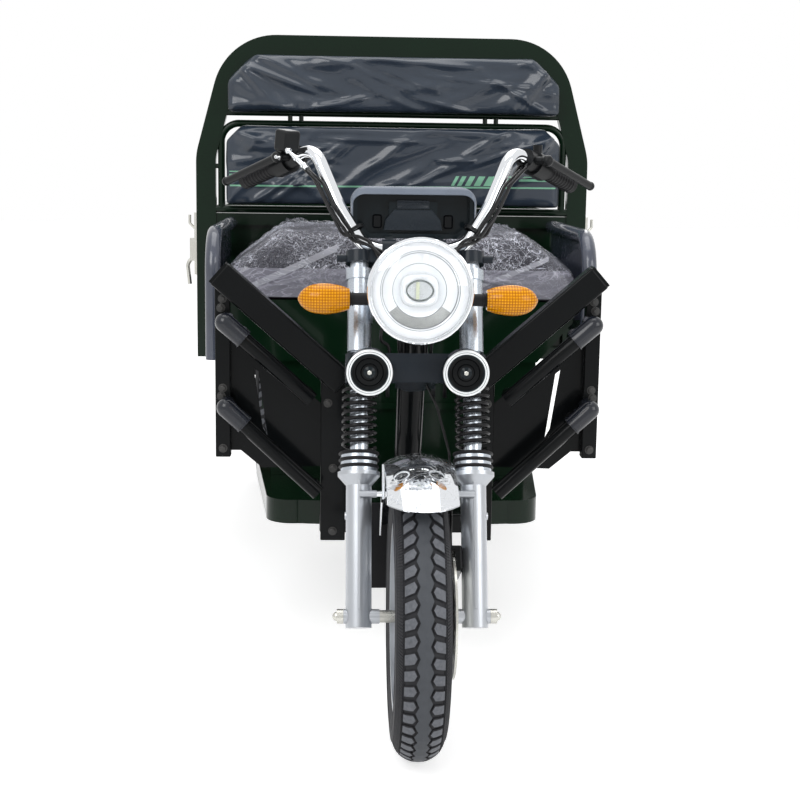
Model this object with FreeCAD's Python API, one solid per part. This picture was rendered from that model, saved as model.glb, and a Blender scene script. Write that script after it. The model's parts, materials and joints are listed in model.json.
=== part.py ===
import FreeCAD, Part
import math
import os

V = FreeCAD.Vector

# Electric cargo tricycle: one steered front wheel, a bench seat behind a tubular leg guard, and a drop-side
# cargo box over a leaf-sprung rear axle. Millimetres. +X is to the right as seen from the front, +Y runs
# rearwards and +Z up. The origin is on the ground, at mid-length and mid-width.

# Wheels and overall layout
tyre_radius = 250.0
tyre_width = 93.0
box_setback = 1320.0
box_length = 1500.0
axle_place_share = 0.54
box_half_width = 500.0
floor_height = 600.0
wall_height = 305.0
rear_track = 680.0

# General clearances and cutting overrun
seat_gap = 0.3
running_gap = 0.1
move_gap = 5.0
overrun = 20.0
bend_room_share = 0.45

# Drop sides and their hinges
gate_depth = 25.0
gate_sheet = 4.0
gate_rail = 30.0
gate_rib_width = 60.0
gate_rib_edge = 14.0
gate_rib_count = 5
hinge_radius = 6.0
hinge_length = 60.0
hinge_ear = 30.0
hinge_side_gap = 0.5
hinge_inset = 160.0
hinge_leaf = 4.0

# Tyres and rims
rim_seat_radius = 157.0
rim_wall = 4.0
rim_flange_radius = 168.0
rim_half_width = 37.5
rim_flange_thickness = 4.0
tyre_shoulder_radius = 234.0
tyre_shoulder_half_width = 36.0
tyre_belly_radius = 205.0
wheel_disc_thickness = 5.0
wheel_disc_dish = 18.0
wheel_vent_radius = 17.0
wheel_vent_circle = 105.0
wheel_vent_count = 8
front_hub_radius = 34.0
front_hub_half_length = 36.0
brake_disc_radius = 110.0
brake_disc_bore_radius = 62.0
brake_disc_thickness = 4.0
brake_disc_offset = 60.0
brake_carrier_radius = 70.0
brake_slot_radius = 5.0
brake_slot_circle = 92.0
brake_slot_count = 18
rear_hub_radius = 40.0
rear_drum_radius = 112.0
rear_drum_length = 60.0
rear_hub_cap_length = 22.0
rear_shaft_radius = 14.0

# Front fork, in a frame that stands upright on the front axle and is then tilted back
rake_deg = 21.0
leg_half_spacing = 103.0
steer_offset = 38.0
leg_radius = 23.0
leg_bottom = 20.0
leg_flange_height = 256.0
leg_flange_radius = 38.0
leg_flange_thickness = 7.0
leg_neck_height = 232.0
leg_rib_width = 4.0
leg_rib_depth = 5.0
leg_rib_start = 12.0
leg_boss_radius = 13.0
leg_boss_height = 178.0
leg_boss_reach = 2.0
leg_pad_height = 214.0
leg_pad_reach = 8.0
leg_pad_radius = 6.5
axle_radius = 7.5
axle_boss_radius = 13.0
axle_boss_length = 14.0
axle_nut_radius = 13.0
axle_nut_length = 12.0
axle_cap_radius = 8.0
axle_spacer_radius = 11.0
fork_tube_radius = 16.5
dust_cap_radius = 33.0
dust_cap_length = 36.0
dust_cap_groove = 3.0
dust_cap_rings = 3
dust_cap_ring_share = 0.62
spring_radius = 24.0
spring_wire_radius = 2.7
spring_turns = 7
lower_bridge_height = 446.0
lower_bridge_depth = 54.0
bridge_wall = 9.0
bridge_arm_depth = 36.0
cover_start = 478.0
cover_end = 634.0
cover_radius = 22.0
cover_collar_radius = 24.5
cover_collar_length = 20.0
top_bridge_height = 646.0
top_bridge_thickness = 22.0
head_tube_radius = 26.0
head_bore_radius = 15.0
stem_radius = 14.9
bearing_gap = 0.5
pinch_bolt_radius = 7.0
pinch_bolt_reach = 16.0

# Handlebar: half of its centreline, as (across, back from the front axle, up)
bar_radius = 12.5
bar_bend_radius = 40.0
bar_route = [(68.0, 270.0, 878.0), (98.0, 274.0, 888.0), (142.0, 294.0, 958.0), (188.0, 334.0, 1064.0),
             (326.0, 494.0, 1000.0)]
riser_radius = 19.0
riser_half_spacing = 47.0
riser_half_length = 13.0
riser_stem_radius = 15.0
grip_radius = 17.0
grip_length = 108.0
grip_flange_radius = 23.0
grip_flange_length = 6.0
bar_end_gap = 4.0
perch_length = 28.0
perch_radius = 20.0
pod_length = 38.0
pod_radius = 25.0
lever_length = 168.0
lever_thickness = 8.0
lever_depth = 16.0
lever_ball_radius = 9.0
lever_joint_radius = 11.0
lever_forward = 44.0
reservoir_width = 38.0
reservoir_depth = 36.0
reservoir_height = 42.0
reservoir_fillet = 6.0
reservoir_lean_deg = 8.0
mirror_boss_radius = 9.0
mirror_boss_height = 20.0
mirror_hole_radius = 5.0
mirror_hole_depth = 15.0

# Instrument hood
hood_back = 304.0
hood_height = 94.0
hood_half_width = 116.0
hood_half_bottom = 90.0
hood_taper_height = 28.0
hood_depth = 84.0
hood_wall = 9.0
hood_recess = 30.0
hood_top_fillet = 26.0
hood_low_fillet = 12.0
hood_foot_width = 16.0
hood_foot_thickness = 5.0
display_half_width = 46.0
display_height = 44.0
display_reach = 16.0

# Headlamp
lamp_back = 38.0
lamp_height = 821.0
lamp_radius = 93.0
lamp_rim_length = 22.0
lamp_rim_lip = 8.0
lamp_shell_length = 92.0
lamp_shell_middle_radius = 75.0
lamp_shell_end_radius = 44.0
lamp_wall = 3.0
lamp_lens_thickness = 4.0
lamp_tilt_deg = 3.0
lamp_ear_thickness = 5.0
lamp_ear_height = 46.0
lamp_ear_reach = 112.0
lamp_boss_radius = 8.0

# Turn signals
signal_drop = 21.0
signal_setback = 70.0
signal_root = 122.0
signal_tip = 214.0
signal_half_height = 26.0
signal_tip_radius = 13.0
signal_root_share = 0.7
signal_bulge_share = 0.3
signal_stalk_radius = 11.0
signal_ring_radius = 13.0
signal_ring_count = 2
signal_ring_width = 2.0

# Horns
horn_half_spacing = 86.0
horn_rise = 5.6
horn_radius = 41.0
horn_length = 34.0
horn_dish_radius = 31.0
horn_dish_depth = 9.0
horn_cone_radius = 18.0
horn_cone_height = 6.0
horn_nut_radius = 5.0
horn_stem_radius = 7.0
horn_stem_length = 22.4
horn_stem_seat = 1.6

# Front fender
fender_radius = 284.0
fender_half_width = 57.0
fender_sheet = 2.5
fender_crown = 16.0
fender_skirt = 30.0
fender_front_deg = 54.0
fender_rear_deg = 158.0
fender_stay_radius = 5.0
fender_edge_sag = 9.0
fender_edge_fall = 0.14
fender_edge_end = 75.0
fender_tab_width = 22.0
fender_tab_thickness = 3.0
flap_half_width = 74.0
flap_thickness = 5.0
flap_bottom = 222.0
flap_lap = 34.0
caliper_length = 88.0
caliper_height = 46.0
caliper_angle_deg = 118.0
caliper_inset = 14.0

# Control cables along the bars and down to the lamp and caliper
cable_radius = 3.2
brake_hose_radius = 2.4
cable_bend_radius = 26.0
cable_routes = [
    [(213.4, 363.8, 1035.3), (204.0, 338.0, 1026.0), (172.0, 296.0, 1000.0), (149.0, 275.0, 954.0),
     (108.0, 257.0, 896.0), (72.0, 222.0, 882.0), (45.0, 190.0, 870.0), (25.0, 153.9, 835.0)],
    [(222.8, 357.3, 1040.0), (214.0, 330.0, 1032.0), (182.0, 292.0, 1002.0), (158.0, 274.0, 952.0),
     (117.0, 252.0, 896.0), (82.0, 208.0, 888.0), (53.0, 181.0, 861.0), (36.0, 153.6, 822.0)],
    [(207.4, 369.2, 1035.4), (197.0, 351.0, 1022.0), (168.0, 304.0, 968.0), (134.0, 268.0, 904.0),
     (106.0, 236.0, 904.0), (84.0, 216.0, 896.0), (66.0, 200.0, 862.0), (56.0, 190.0, 820.0),
     (34.0, 181.0, 770.0), (28.0, 178.9, 688.6)],
]
lamp_wire_route = [(-36.0, 146.0, 768.0), (-62.0, 139.0, 752.0), (-66.0, 141.0, 722.0), (-50.0, 152.0, 712.0),
                   (-48.0, 158.0, 698.6)]
brake_hose_route = [(20.0, 149.0, 639.9), (40.0, 146.0, 600.0), (62.0, 128.0, 520.0), (65.5, 104.0, 440.0),
                    (62.0, 61.0, 387.0), (62.0, 47.1, 360.4)]

# Main frame and cross members
down_tube_radius = 27.0
main_rail_half_spacing = 150.0
main_rail_width = 40.0
main_rail_height = 40.0
main_rail_top = 328.5
front_beam_back = 432.0
front_beam_depth = 42.0
front_beam_half_width = 176.0
riser_back = 1062.0
riser_depth = 40.0
chassis_rail_half_spacing = 232.0
chassis_rail_width = 40.0
chassis_rail_height = 60.0
chassis_rail_rear_inset = 30.0
beam_width = 40.0
beam_shares = [0.067, 0.333, 0.613, 0.947]
tube_fillet = 5.0

# Footboard
footboard_half_front = 292.0
footboard_half_rear = 336.0
footboard_back = 528.0
footboard_bow = 70.0
footboard_end = 1040.0
footboard_sheet = 3.0
footboard_skirt = 51.0
footboard_corner = 70.0
footboard_corner_drop = 14.0
footboard_shoulder_drop = 29.4
footboard_shoulder_inset = 17.5
footboard_slot_gap = 1.5
pedal_half_width = 38.0
pedal_across = -120.0
pedal_height = 92.0
pedal_rod_radius = 6.0
pedal_pad_depth = 60.0
pedal_pad_thickness = 8.0
pedal_back = 640.0

# Leg guard
outer_post_width = 30.0
post_width = 50.0
post_depth = 28.0
outer_post_across = 384.0
outer_post_bottom = 452.0
outer_post_top = 796.0
inner_post_across = 174.0
inner_post_bottom = 280.0
inner_post_top = 612.0
guard_back = 404.0
top_bar_width = 52.0
top_bar_depth = 34.0
top_bar_outer = (374.0, 822.0)
top_bar_inner = (128.0, 606.0)
top_bar_cap = 4.0
guard_tube_radius = 16.0
guard_elbow_radius = 18.5
guard_elbow_length = 54.0
guard_leg_radius = 16.5
guard_lug_radius = 13.0
guard_tube_gap = 46.0
guard_tubes = [((361.0, 728.0), (192.0, 577.0)), ((359.0, 560.0), (178.0, 390.0))]
guard_sheet = 3.0
guard_sheet_line = [(358.0, 716.0), (358.0, 462.0), (335.0, 462.0), (292.0, 426.0), (166.0, 430.0),
                    (166.0, 552.0)]
guard_slit_line = [(281.0, 490.0), (291.0, 508.0), (309.0, 630.0), (299.0, 622.0)]

# Seat base, battery and cushion
seat_box_back = 790.0
seat_box_depth = 250.0
seat_box_half_low = 290.0
seat_box_half_high = 310.0
seat_ledge_height = 487.0
seat_ledge_thickness = 15.0
seat_ledge_reach = 10.0
seat_box_top = 600.0
seat_sheet = 3.0
seat_pan_half_width = 390.0
seat_pan_shoulder = 690.0
seat_pan_rim = 44.0
seat_pan_back = 772.0
seat_pan_end_gap = 32.0
louvre_count = 9
louvre_width = 9.0
louvre_pitch = 26.0
louvre_low = 512.0
louvre_high = 572.0
battery_half_width = 270.0
battery_depth = 200.0
battery_height = 210.0
cushion_overhang = 3.0
cushion_back = 762.0
cushion_end_gap = 58.0
cushion_height = 150.0
cushion_side_height = 62.0
cushion_slope = 122.0
cushion_fillet = 26.0

# Armrests
armrest_gap = 40.0
armrest_tube_radius = 16.5
armrest_back = 722.0
armrest_rise = 206.0
armrest_drop = 84.0
armrest_bend_radius = 86.0
armrest_plate = 3.0
armrest_panel_inset = 26.0
armrest_foot = 46.0
armrest_lug_width = 30.0
armrest_lug_shares = (0.16, 0.8)

# Backrest hoop, its inner frame and pads
hoop_width = 50.0
hoop_depth = 30.0
hoop_top = 1350.0
hoop_shoulder_drop = 300.0
hoop_lean_deg = 15.1
hoop_corner_radius = 138.0
frame_tube_radius = 9.0
frame_half_width = 436.0
frame_top = 1140.0
frame_bottom = 916.0
frame_corner_radius = 46.0
pad_depth = 52.0
pad_fillet = 14.0
lower_pad_half_width = 424.0
lower_pad_bottom = 928.0
lower_pad_top = 1128.0
lower_pad_corner = 40.0
upper_pad_half_width = 420.0
upper_pad_bottom = 1158.0
upper_pad_top = 1302.0
upper_pad_corner = 70.0
pad_bar_radius = 8.0
stay_across = [262.0, 234.0]
stay_radius = 6.0

# Cargo box
bed_frame_depth = 65.0
bed_frame_width = 40.0
bed_sheet = 5.0
bed_rib_width = 40.0
bed_rib_height = 3.0
bed_rib_count = 7
corner_post_depth = 40.0
corner_post_width = 38.0
front_wall_depth = 24.0
front_wall_sheet = 4.0
front_wall_rail = 30.0
front_wall_ribs = [0.36, 0.66]
front_wall_rib_height = 26.0
latch_reach = 30.0
latch_body_height = 58.0
latch_body_depth = 24.0
latch_body_top_drop = 65.0
latch_plate = 6.0
latch_plate_height = 158.0
latch_body_reach = 18.0
latch_body_inset = 3.6
latch_hook_bend = 3.5
latch_hook_drop = 28.0
latch_hook_height = 40.0
latch_handle_length = 60.0
latch_handle_radius = 5.0

# Rear suspension, axle and tail
axle_tube_radius = 32.0
axle_ball_radius = 92.0
axle_ball_half_length = 70.0
axle_housing_end_gap = 8.0
motor_radius = 86.0
motor_length = 210.0
backing_plate_radius = 108.0
backing_plate_thickness = 6.0
leaf_across = 232.0
leaf_width = 50.0
leaf_thickness = 7.0
leaf_count = 5
leaf_half_length = 430.0
leaf_shrink = 82.0
leaf_camber = 88.0
leaf_eye_radius = 14.0
hanger_thickness = 10.0
hanger_gap = 0.3
hanger_depth = 46.0
lamp_box_width = 150.0
lamp_box_height = 62.0
lamp_box_depth = 34.0
lamp_box_across = 392.0
lamp_box_lens = 8.0
rear_flap_width = 208.0
rear_flap_height = 220.0
rear_flap_thickness = 5.0
rear_flap_back = 330.0

# Places worked out from the sizes above
gate_reach = move_gap + gate_depth + 2 * hinge_radius
overall_length = tyre_radius + box_setback + box_length + gate_reach
front_y = tyre_radius - overall_length / 2
box_y = front_y + box_setback
rear_y = box_y + axle_place_share * box_length
box_end_y = box_y + box_length
wall_top = floor_height + wall_height
bed_top = floor_height - bed_rib_height
bed_bottom = floor_height - bed_frame_depth
tyre_half_width = tyre_width / 2
rear_wheel_x = rear_track / 2
signal_height = lamp_height - signal_drop
signal_back = lamp_back + signal_setback
seat_pan_top = seat_pan_shoulder + seat_pan_rim
cushion_half_width = seat_pan_half_width + cushion_overhang
cushion_top = seat_pan_top + cushion_height
armrest_across = seat_pan_half_width + armrest_gap
armrest_top = seat_pan_shoulder + armrest_rise
armrest_bottom = seat_pan_shoulder - armrest_drop


def block(x0, x1, y0, y1, z0, z1, fillet=0.0):
    """A box between two corners, its edges rounded when a fillet is given."""
    body = Part.makeBox(x1 - x0, y1 - y0, z1 - z0, V(x0, y0, z0))
    return body.makeFillet(fillet, body.Edges) if fillet else body


def rod(start, end, radius):
    """A round bar between two points."""
    a, b = V(*start), V(*end)
    return Part.makeCylinder(radius, (b - a).Length, a, b - a)


def mirrored(shape):
    """The same piece on the other side of the vehicle."""
    return shape.mirror(V(0, 0, 0), V(1, 0, 0))


def fused(pieces):
    """One solid from pieces that touch or overlap."""
    first, *rest = pieces
    return (first.multiFuse(rest) if rest else first).removeSplitter()


def bent_path(points, radius):
    """A wire through the points, with an arc of at most the given radius at each corner."""
    points = [V(*p) for p in points]
    edges = []
    at = points[0]
    for before, corner, after in zip(points, points[1:], points[2:]):
        a, b = (before - corner).normalize(), (after - corner).normalize()
        half = (math.pi - a.getAngle(b)) / 2
        room = min((before - corner).Length, (after - corner).Length) * bend_room_share
        reach = min(radius * math.tan(half), room)
        bend = reach / math.tan(half)
        start, end = corner + a * reach, corner + b * reach
        middle_way = (a + b).normalize()
        centre = corner + middle_way * math.hypot(bend, reach)
        edges.append(Part.makeLine(at, start))
        edges.append(Part.Arc(start, centre - middle_way * bend, end).toShape())
        at = end
    edges.append(Part.makeLine(at, points[-1]))
    return Part.Wire(edges)


def bent_rod(points, bend_radius, radius):
    """A round bar that follows the points."""
    path = bent_path(points, bend_radius)
    start = path.Edges[0]
    way = start.tangentAt(start.FirstParameter)
    ring = Part.Wire([Part.makeCircle(radius, V(*points[0]), way)])
    return path.makePipeShell([ring], True, False)


def outline(points, plane, at):
    """A closed flat face from points in one plane, each a pair, at a place along the third axis."""
    place = {"xz": lambda u, w: V(u, at, w), "yz": lambda u, w: V(at, u, w), "xy": lambda u, w: V(u, w, at)}
    corners = [place[plane](u, w) for u, w in points]
    return Part.Face(Part.makePolygon(corners + corners[:1]))


def revolved(profile, centre, turned=False):
    """A solid turned about the X axis through a centre, from points (along X, radius)."""
    sign = -1 if turned else 1
    corners = [V(centre[0] + sign * u, centre[1], centre[2] + r) for u, r in profile]
    face = Part.Face(Part.makePolygon(corners + corners[:1]))
    return face.revolve(V(*centre), V(1, 0, 0), 360)


def tilted(shape):
    """Lays a piece that was drawn upright over the origin back along the fork, on the front axle."""
    piece = shape.copy()
    piece.rotate(V(0, 0, 0), V(1, 0, 0), -rake_deg)
    piece.translate(V(0, front_y, tyre_radius))
    return piece


def fork_place(across, up, forward=0.0):
    """A point of the upright fork frame, in the vehicle's frame."""
    rake = math.radians(rake_deg)
    return (across, front_y + up * math.sin(rake) - forward * math.cos(rake),
            tyre_radius + up * math.cos(rake) + forward * math.sin(rake))


def tyre(centre):
    """A tyre with a rounded tread band and bulging side walls."""
    bead = rim_half_width - seat_gap
    x, y, z = centre

    def at(u, r):
        return V(x + u, y, z + r)

    crown = Part.Arc(at(-tyre_shoulder_half_width, tyre_shoulder_radius), at(0, tyre_radius),
                     at(tyre_shoulder_half_width, tyre_shoulder_radius)).toShape()
    sides = []
    for s in (1, -1):
        sides.append(Part.Arc(at(s * tyre_shoulder_half_width, tyre_shoulder_radius),
                              at(s * tyre_half_width, tyre_belly_radius),
                              at(s * bead, rim_flange_radius + seat_gap)).toShape())
    inner = rim_seat_radius + seat_gap
    base = Part.makePolygon([at(bead, rim_flange_radius + seat_gap), at(bead, inner), at(-bead, inner),
                             at(-bead, rim_flange_radius + seat_gap)])
    profile = Part.Wire(Part.__sortEdges__([crown, *sides, *base.Edges]))
    return Part.Face(profile).revolve(V(x, y, z), V(1, 0, 0), 360)


def wheel_rim(centre, hub_radius, hub_half_length, bore, outward):
    """A pressed rim with a dished and vented disc round a hub."""
    w, lip = rim_half_width, rim_flange_thickness
    seat, low = rim_seat_radius, rim_seat_radius - rim_wall
    barrel = revolved([(-w - lip, low), (w + lip, low), (w + lip, rim_flange_radius), (w, rim_flange_radius),
                       (w, seat), (-w, seat), (-w, rim_flange_radius), (-w - lip, rim_flange_radius)], centre)
    face, thick = wheel_disc_dish, wheel_disc_thickness
    near = hub_radius + (low - hub_radius) / 4
    disc = revolved([(0, hub_radius - thick), (0, near), (face, near + face), (face, low + seat_gap),
                     (face + thick, low + seat_gap), (face + thick, near + face), (thick, near),
                     (thick, hub_radius - thick)], centre, outward < 0)
    hub = revolved([(-hub_half_length, bore), (hub_half_length, bore), (hub_half_length, hub_radius),
                    (-hub_half_length, hub_radius)], centre)
    body = fused([barrel, disc, hub])
    x, y, z = centre
    vents = []
    for i in range(wheel_vent_count):
        angle = 2 * math.pi * i / wheel_vent_count
        u, w = wheel_vent_circle * math.cos(angle), wheel_vent_circle * math.sin(angle)
        reach = face + thick + overrun
        vents.append(rod((x - reach, y + u, z + w), (x + reach, y + u, z + w), wheel_vent_radius))
    return body.cut(Part.makeCompound(vents))


def front_wheel():
    centre = (0.0, front_y, tyre_radius)
    bore = axle_radius + running_gap
    rim = wheel_rim(centre, front_hub_radius, front_hub_half_length, bore, -1)
    x0, x1 = brake_disc_offset, brake_disc_offset + brake_disc_thickness
    disc = revolved([(x0, brake_disc_bore_radius), (x1, brake_disc_bore_radius), (x1, brake_disc_radius),
                     (x0, brake_disc_radius)], centre)
    holes = []
    for i in range(brake_slot_count):
        angle = 2 * math.pi * i / brake_slot_count
        y = front_y + brake_slot_circle * math.cos(angle)
        z = tyre_radius + brake_slot_circle * math.sin(angle)
        holes.append(rod((x0 - overrun, y, z), (x1 + overrun, y, z), brake_slot_radius))
    disc = disc.cut(Part.makeCompound(holes))
    carrier = revolved([(front_hub_half_length, bore), (x1, bore), (x1, front_hub_radius),
                        (x0, front_hub_radius), (x0, brake_disc_bore_radius),
                        (x0 - rim_wall, brake_carrier_radius),
                        (x0 - 2 * rim_wall, brake_disc_bore_radius),
                        (front_hub_half_length, front_hub_radius)],
                       centre)
    return {"front_tyre": tyre(centre), "front_rim": rim, "brake_disc": fused([disc, carrier])}


def rear_wheel(side):
    """A rear tyre, and its rim with the brake drum on the inner side."""
    centre = (side * rear_wheel_x, rear_y, tyre_radius)
    bore = rear_shaft_radius + running_gap
    rim = wheel_rim(centre, rear_hub_radius, rim_half_width, bore, side)
    wall = rim_wall
    drum_start = -rim_half_width + wheel_disc_thickness
    drum = revolved([(0, rear_hub_radius), (0, rear_drum_radius),
                     (drum_start - rear_drum_length / 2, rear_drum_radius),
                     (drum_start - rear_drum_length / 2, rear_drum_radius - wall),
                     (-wall, rear_drum_radius - wall),
                     (-wall, rear_hub_radius)], centre, side < 0)
    end = rim_half_width + rear_hub_cap_length
    cap = revolved([(rim_half_width, 0), (end, 0), (end, rear_hub_radius / 2),
                    (rim_half_width, rear_hub_radius)],
                   centre, side < 0)
    return tyre(centre), fused([rim, drum, cap])


def leg_pad_front():
    return -(leg_radius + leg_rib_depth / 2)


def fork_leg(side):
    """A cast lower leg: a flared top, a front rib, a fender boss and the axle clamp at the foot."""
    x = side * leg_half_spacing
    profile = [(0, -leg_bottom), (leg_radius, -leg_bottom), (leg_radius, leg_neck_height),
               (leg_flange_radius, leg_flange_height - leg_flange_thickness),
               (leg_flange_radius, leg_flange_height),
               (0, leg_flange_height)]
    face = Part.Face(Part.makePolygon([V(x + r, 0, h) for r, h in profile + profile[:1]]))
    body = face.revolve(V(x, 0, 0), V(0, 0, 1), 360)
    rib = block(x - leg_rib_width / 2, x + leg_rib_width / 2, -leg_radius - leg_rib_depth, 0, leg_rib_start,
                leg_flange_height - leg_flange_thickness)
    boss = Part.makeCone(leg_boss_radius, leg_boss_radius / 2, leg_radius + leg_boss_reach,
                         V(x, 0, leg_boss_height),
                         V(side, 0, 0))
    inner = x - side * (leg_radius + axle_boss_length)
    clamp = rod((inner, 0, 0), (x + side * (leg_radius + axle_boss_length / 4), 0, 0), axle_boss_radius)
    front = leg_pad_front()
    pad = rod((x, front, leg_pad_height), (x - side * (leg_radius + leg_pad_reach), front, leg_pad_height),
              leg_pad_radius)
    leg = fused([body, rib, boss, clamp, pad])
    reach = leg_radius + axle_boss_length + overrun
    leg = leg.cut(rod((x - reach, 0, 0), (x + reach, 0, 0), axle_radius + running_gap))
    top = leg_flange_height
    return leg.cut(rod((x, 0, leg_neck_height / 2), (x, 0, top + overrun), fork_tube_radius + running_gap))


def fork_tube(side):
    """The plated inner tube with the dust cap that closes the leg."""
    x = side * leg_half_spacing
    tube = rod((x, 0, leg_neck_height / 2), (x, 0, top_bridge_height + top_bridge_thickness),
               fork_tube_radius)
    start = leg_flange_height + seat_gap
    pieces = [tube, rod((x, 0, start), (x, 0, start + dust_cap_length), dust_cap_radius - dust_cap_groove)]
    pitch = dust_cap_length / dust_cap_rings
    for i in range(dust_cap_rings):
        low = start + i * pitch
        pieces.append(rod((x, 0, low), (x, 0, low + pitch * dust_cap_ring_share), dust_cap_radius))
    return fused(pieces)


def fork_spring(side):
    """An open coil spring round the plated tube, between the dust cap and the lower bridge."""
    x = side * leg_half_spacing
    start = leg_flange_height + dust_cap_length + spring_wire_radius + 2 * seat_gap
    end = lower_bridge_height - lower_bridge_depth / 2 - spring_wire_radius - seat_gap
    pitch = (end - start) / spring_turns
    helix = Part.makeHelix(pitch, end - start, spring_radius)
    helix.translate(V(x, 0, start))
    way = helix.Edges[0].tangentAt(helix.Edges[0].FirstParameter)
    ring = Part.Wire([Part.makeCircle(spring_wire_radius, V(x + spring_radius, 0, start), way)])
    return Part.Wire(helix.Edges).makePipeShell([ring], True, True)


def lamp_ear_inner():
    return leg_half_spacing - cover_radius - lamp_ear_thickness / 2


def fork_cover(side):
    """A plated shroud over the upper tube, with a collar and the lamp's ear."""
    x = side * leg_half_spacing
    shroud = rod((x, 0, cover_start), (x, 0, cover_end), cover_radius)
    collar = rod((x, 0, cover_end - cover_collar_length), (x, 0, cover_end), cover_collar_radius)
    body = fused([shroud, collar])
    body = body.cut(rod((x, 0, cover_start - overrun), (x, 0, cover_end + overrun),
                        fork_tube_radius + seat_gap))
    middle = (cover_start + cover_end) / 2
    inner = lamp_ear_inner()
    ear = block(inner, inner + lamp_ear_thickness, -lamp_ear_reach, 0, middle - lamp_ear_height / 2,
                middle + lamp_ear_height / 2)
    ear = ear if side > 0 else mirrored(ear)
    return fused([body, ear])


def lower_bridge():
    """The lower clamp: a box-section crossbar between the fork tubes, with the steering stem."""
    half = lower_bridge_depth / 2
    low, high = lower_bridge_height - half, lower_bridge_height + half
    side = leg_half_spacing
    arms = [rod((s * side, 0, low), (s * side, 0, high), fork_tube_radius + bridge_wall) for s in (1, -1)]
    bar = block(-side, side, -fork_tube_radius, -fork_tube_radius + bridge_wall, low, high)
    back = block(-bridge_arm_depth, bridge_arm_depth, -fork_tube_radius, steer_offset, low, high)
    hub = rod((0, steer_offset, low), (0, steer_offset, high), head_tube_radius)
    stem = rod((0, steer_offset, low), (0, steer_offset, top_bridge_height + top_bridge_thickness / 2),
               stem_radius)
    body = fused([*arms, bar, back, hub, stem])
    bores = [rod((s * side, 0, low - overrun), (s * side, 0, high + overrun), fork_tube_radius + running_gap)
             for s in (1, -1)]
    return body.cut(Part.makeCompound(bores))


def top_bridge():
    """The upper clamp plate, its risers for the handlebar and a pinch bolt at each end."""
    low, high = top_bridge_height, top_bridge_height + top_bridge_thickness
    side, wall = leg_half_spacing, bridge_wall
    ends = [rod((s * side, 0, low), (s * side, 0, high), fork_tube_radius + wall) for s in (1, -1)]
    plate = block(-side, side, -fork_tube_radius, fork_tube_radius + wall, low, high)
    middle = rod((0, steer_offset, low), (0, steer_offset, high), head_tube_radius)
    reach = side + fork_tube_radius + wall
    bolts = [rod((s * (reach - wall), 0, (low + high) / 2),
                 (s * (reach + pinch_bolt_reach), 0, (low + high) / 2),
                 pinch_bolt_radius) for s in (1, -1)]
    body = fused([*ends, plate, middle, *bolts])
    bores = [rod((s * side, 0, low - overrun), (s * side, 0, high + overrun), fork_tube_radius + running_gap)
             for s in (1, -1)]
    bores.append(rod((0, steer_offset, low - overrun), (0, steer_offset, high - wall),
                     stem_radius + running_gap))
    body = tilted(body.cut(Part.makeCompound(bores)))
    bar_y, bar_z = front_y + bar_route[0][1], bar_route[0][2]
    risers = []
    for s in (1, -1):
        foot = fork_place(s * riser_half_spacing, high - wall, -fork_tube_radius / 2)
        risers.append(rod(foot, (s * riser_half_spacing, bar_y, bar_z), riser_stem_radius))
        half = riser_half_length
        risers.append(rod((s * riser_half_spacing - half, bar_y, bar_z),
                          (s * riser_half_spacing + half, bar_y, bar_z),
                          riser_radius))
    body = fused([body, *risers])
    reach = riser_half_spacing + riser_radius + overrun
    return body.cut(rod((-reach, bar_y, bar_z), (reach, bar_y, bar_z), bar_radius + running_gap))


def fork_bridges():
    return Part.makeCompound([tilted(lower_bridge()), top_bridge()])


def bar_points():
    half = [V(x, front_y + y, z) for x, y, z in bar_route]
    return [(-p.x, p.y, p.z) for p in reversed(half)] + [tuple(p) for p in half]


def handlebar():
    return bent_rod(bar_points(), bar_bend_radius, bar_radius)


def grip_line(side):
    """The handlebar's last straight stretch: its outer end and the way inwards along it."""
    inner, end = V(*bar_route[-2]), V(*bar_route[-1])
    for p in (inner, end):
        p.x, p.y = side * p.x, p.y + front_y
    return end, (inner - end).normalize()


def along(start, way, near, far, radius):
    """A round piece on a line, between two distances from its start."""
    return Part.makeCylinder(radius, far - near, start + way * near, way)


def grip(side):
    end, way = grip_line(side)
    body = fused([along(end, way, -bar_end_gap, grip_length, grip_radius),
                  along(end, way, grip_length - grip_flange_length, grip_length, grip_flange_radius)])
    return body.cut(along(end, way, 0, grip_length + overrun, bar_radius + running_gap))


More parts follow.
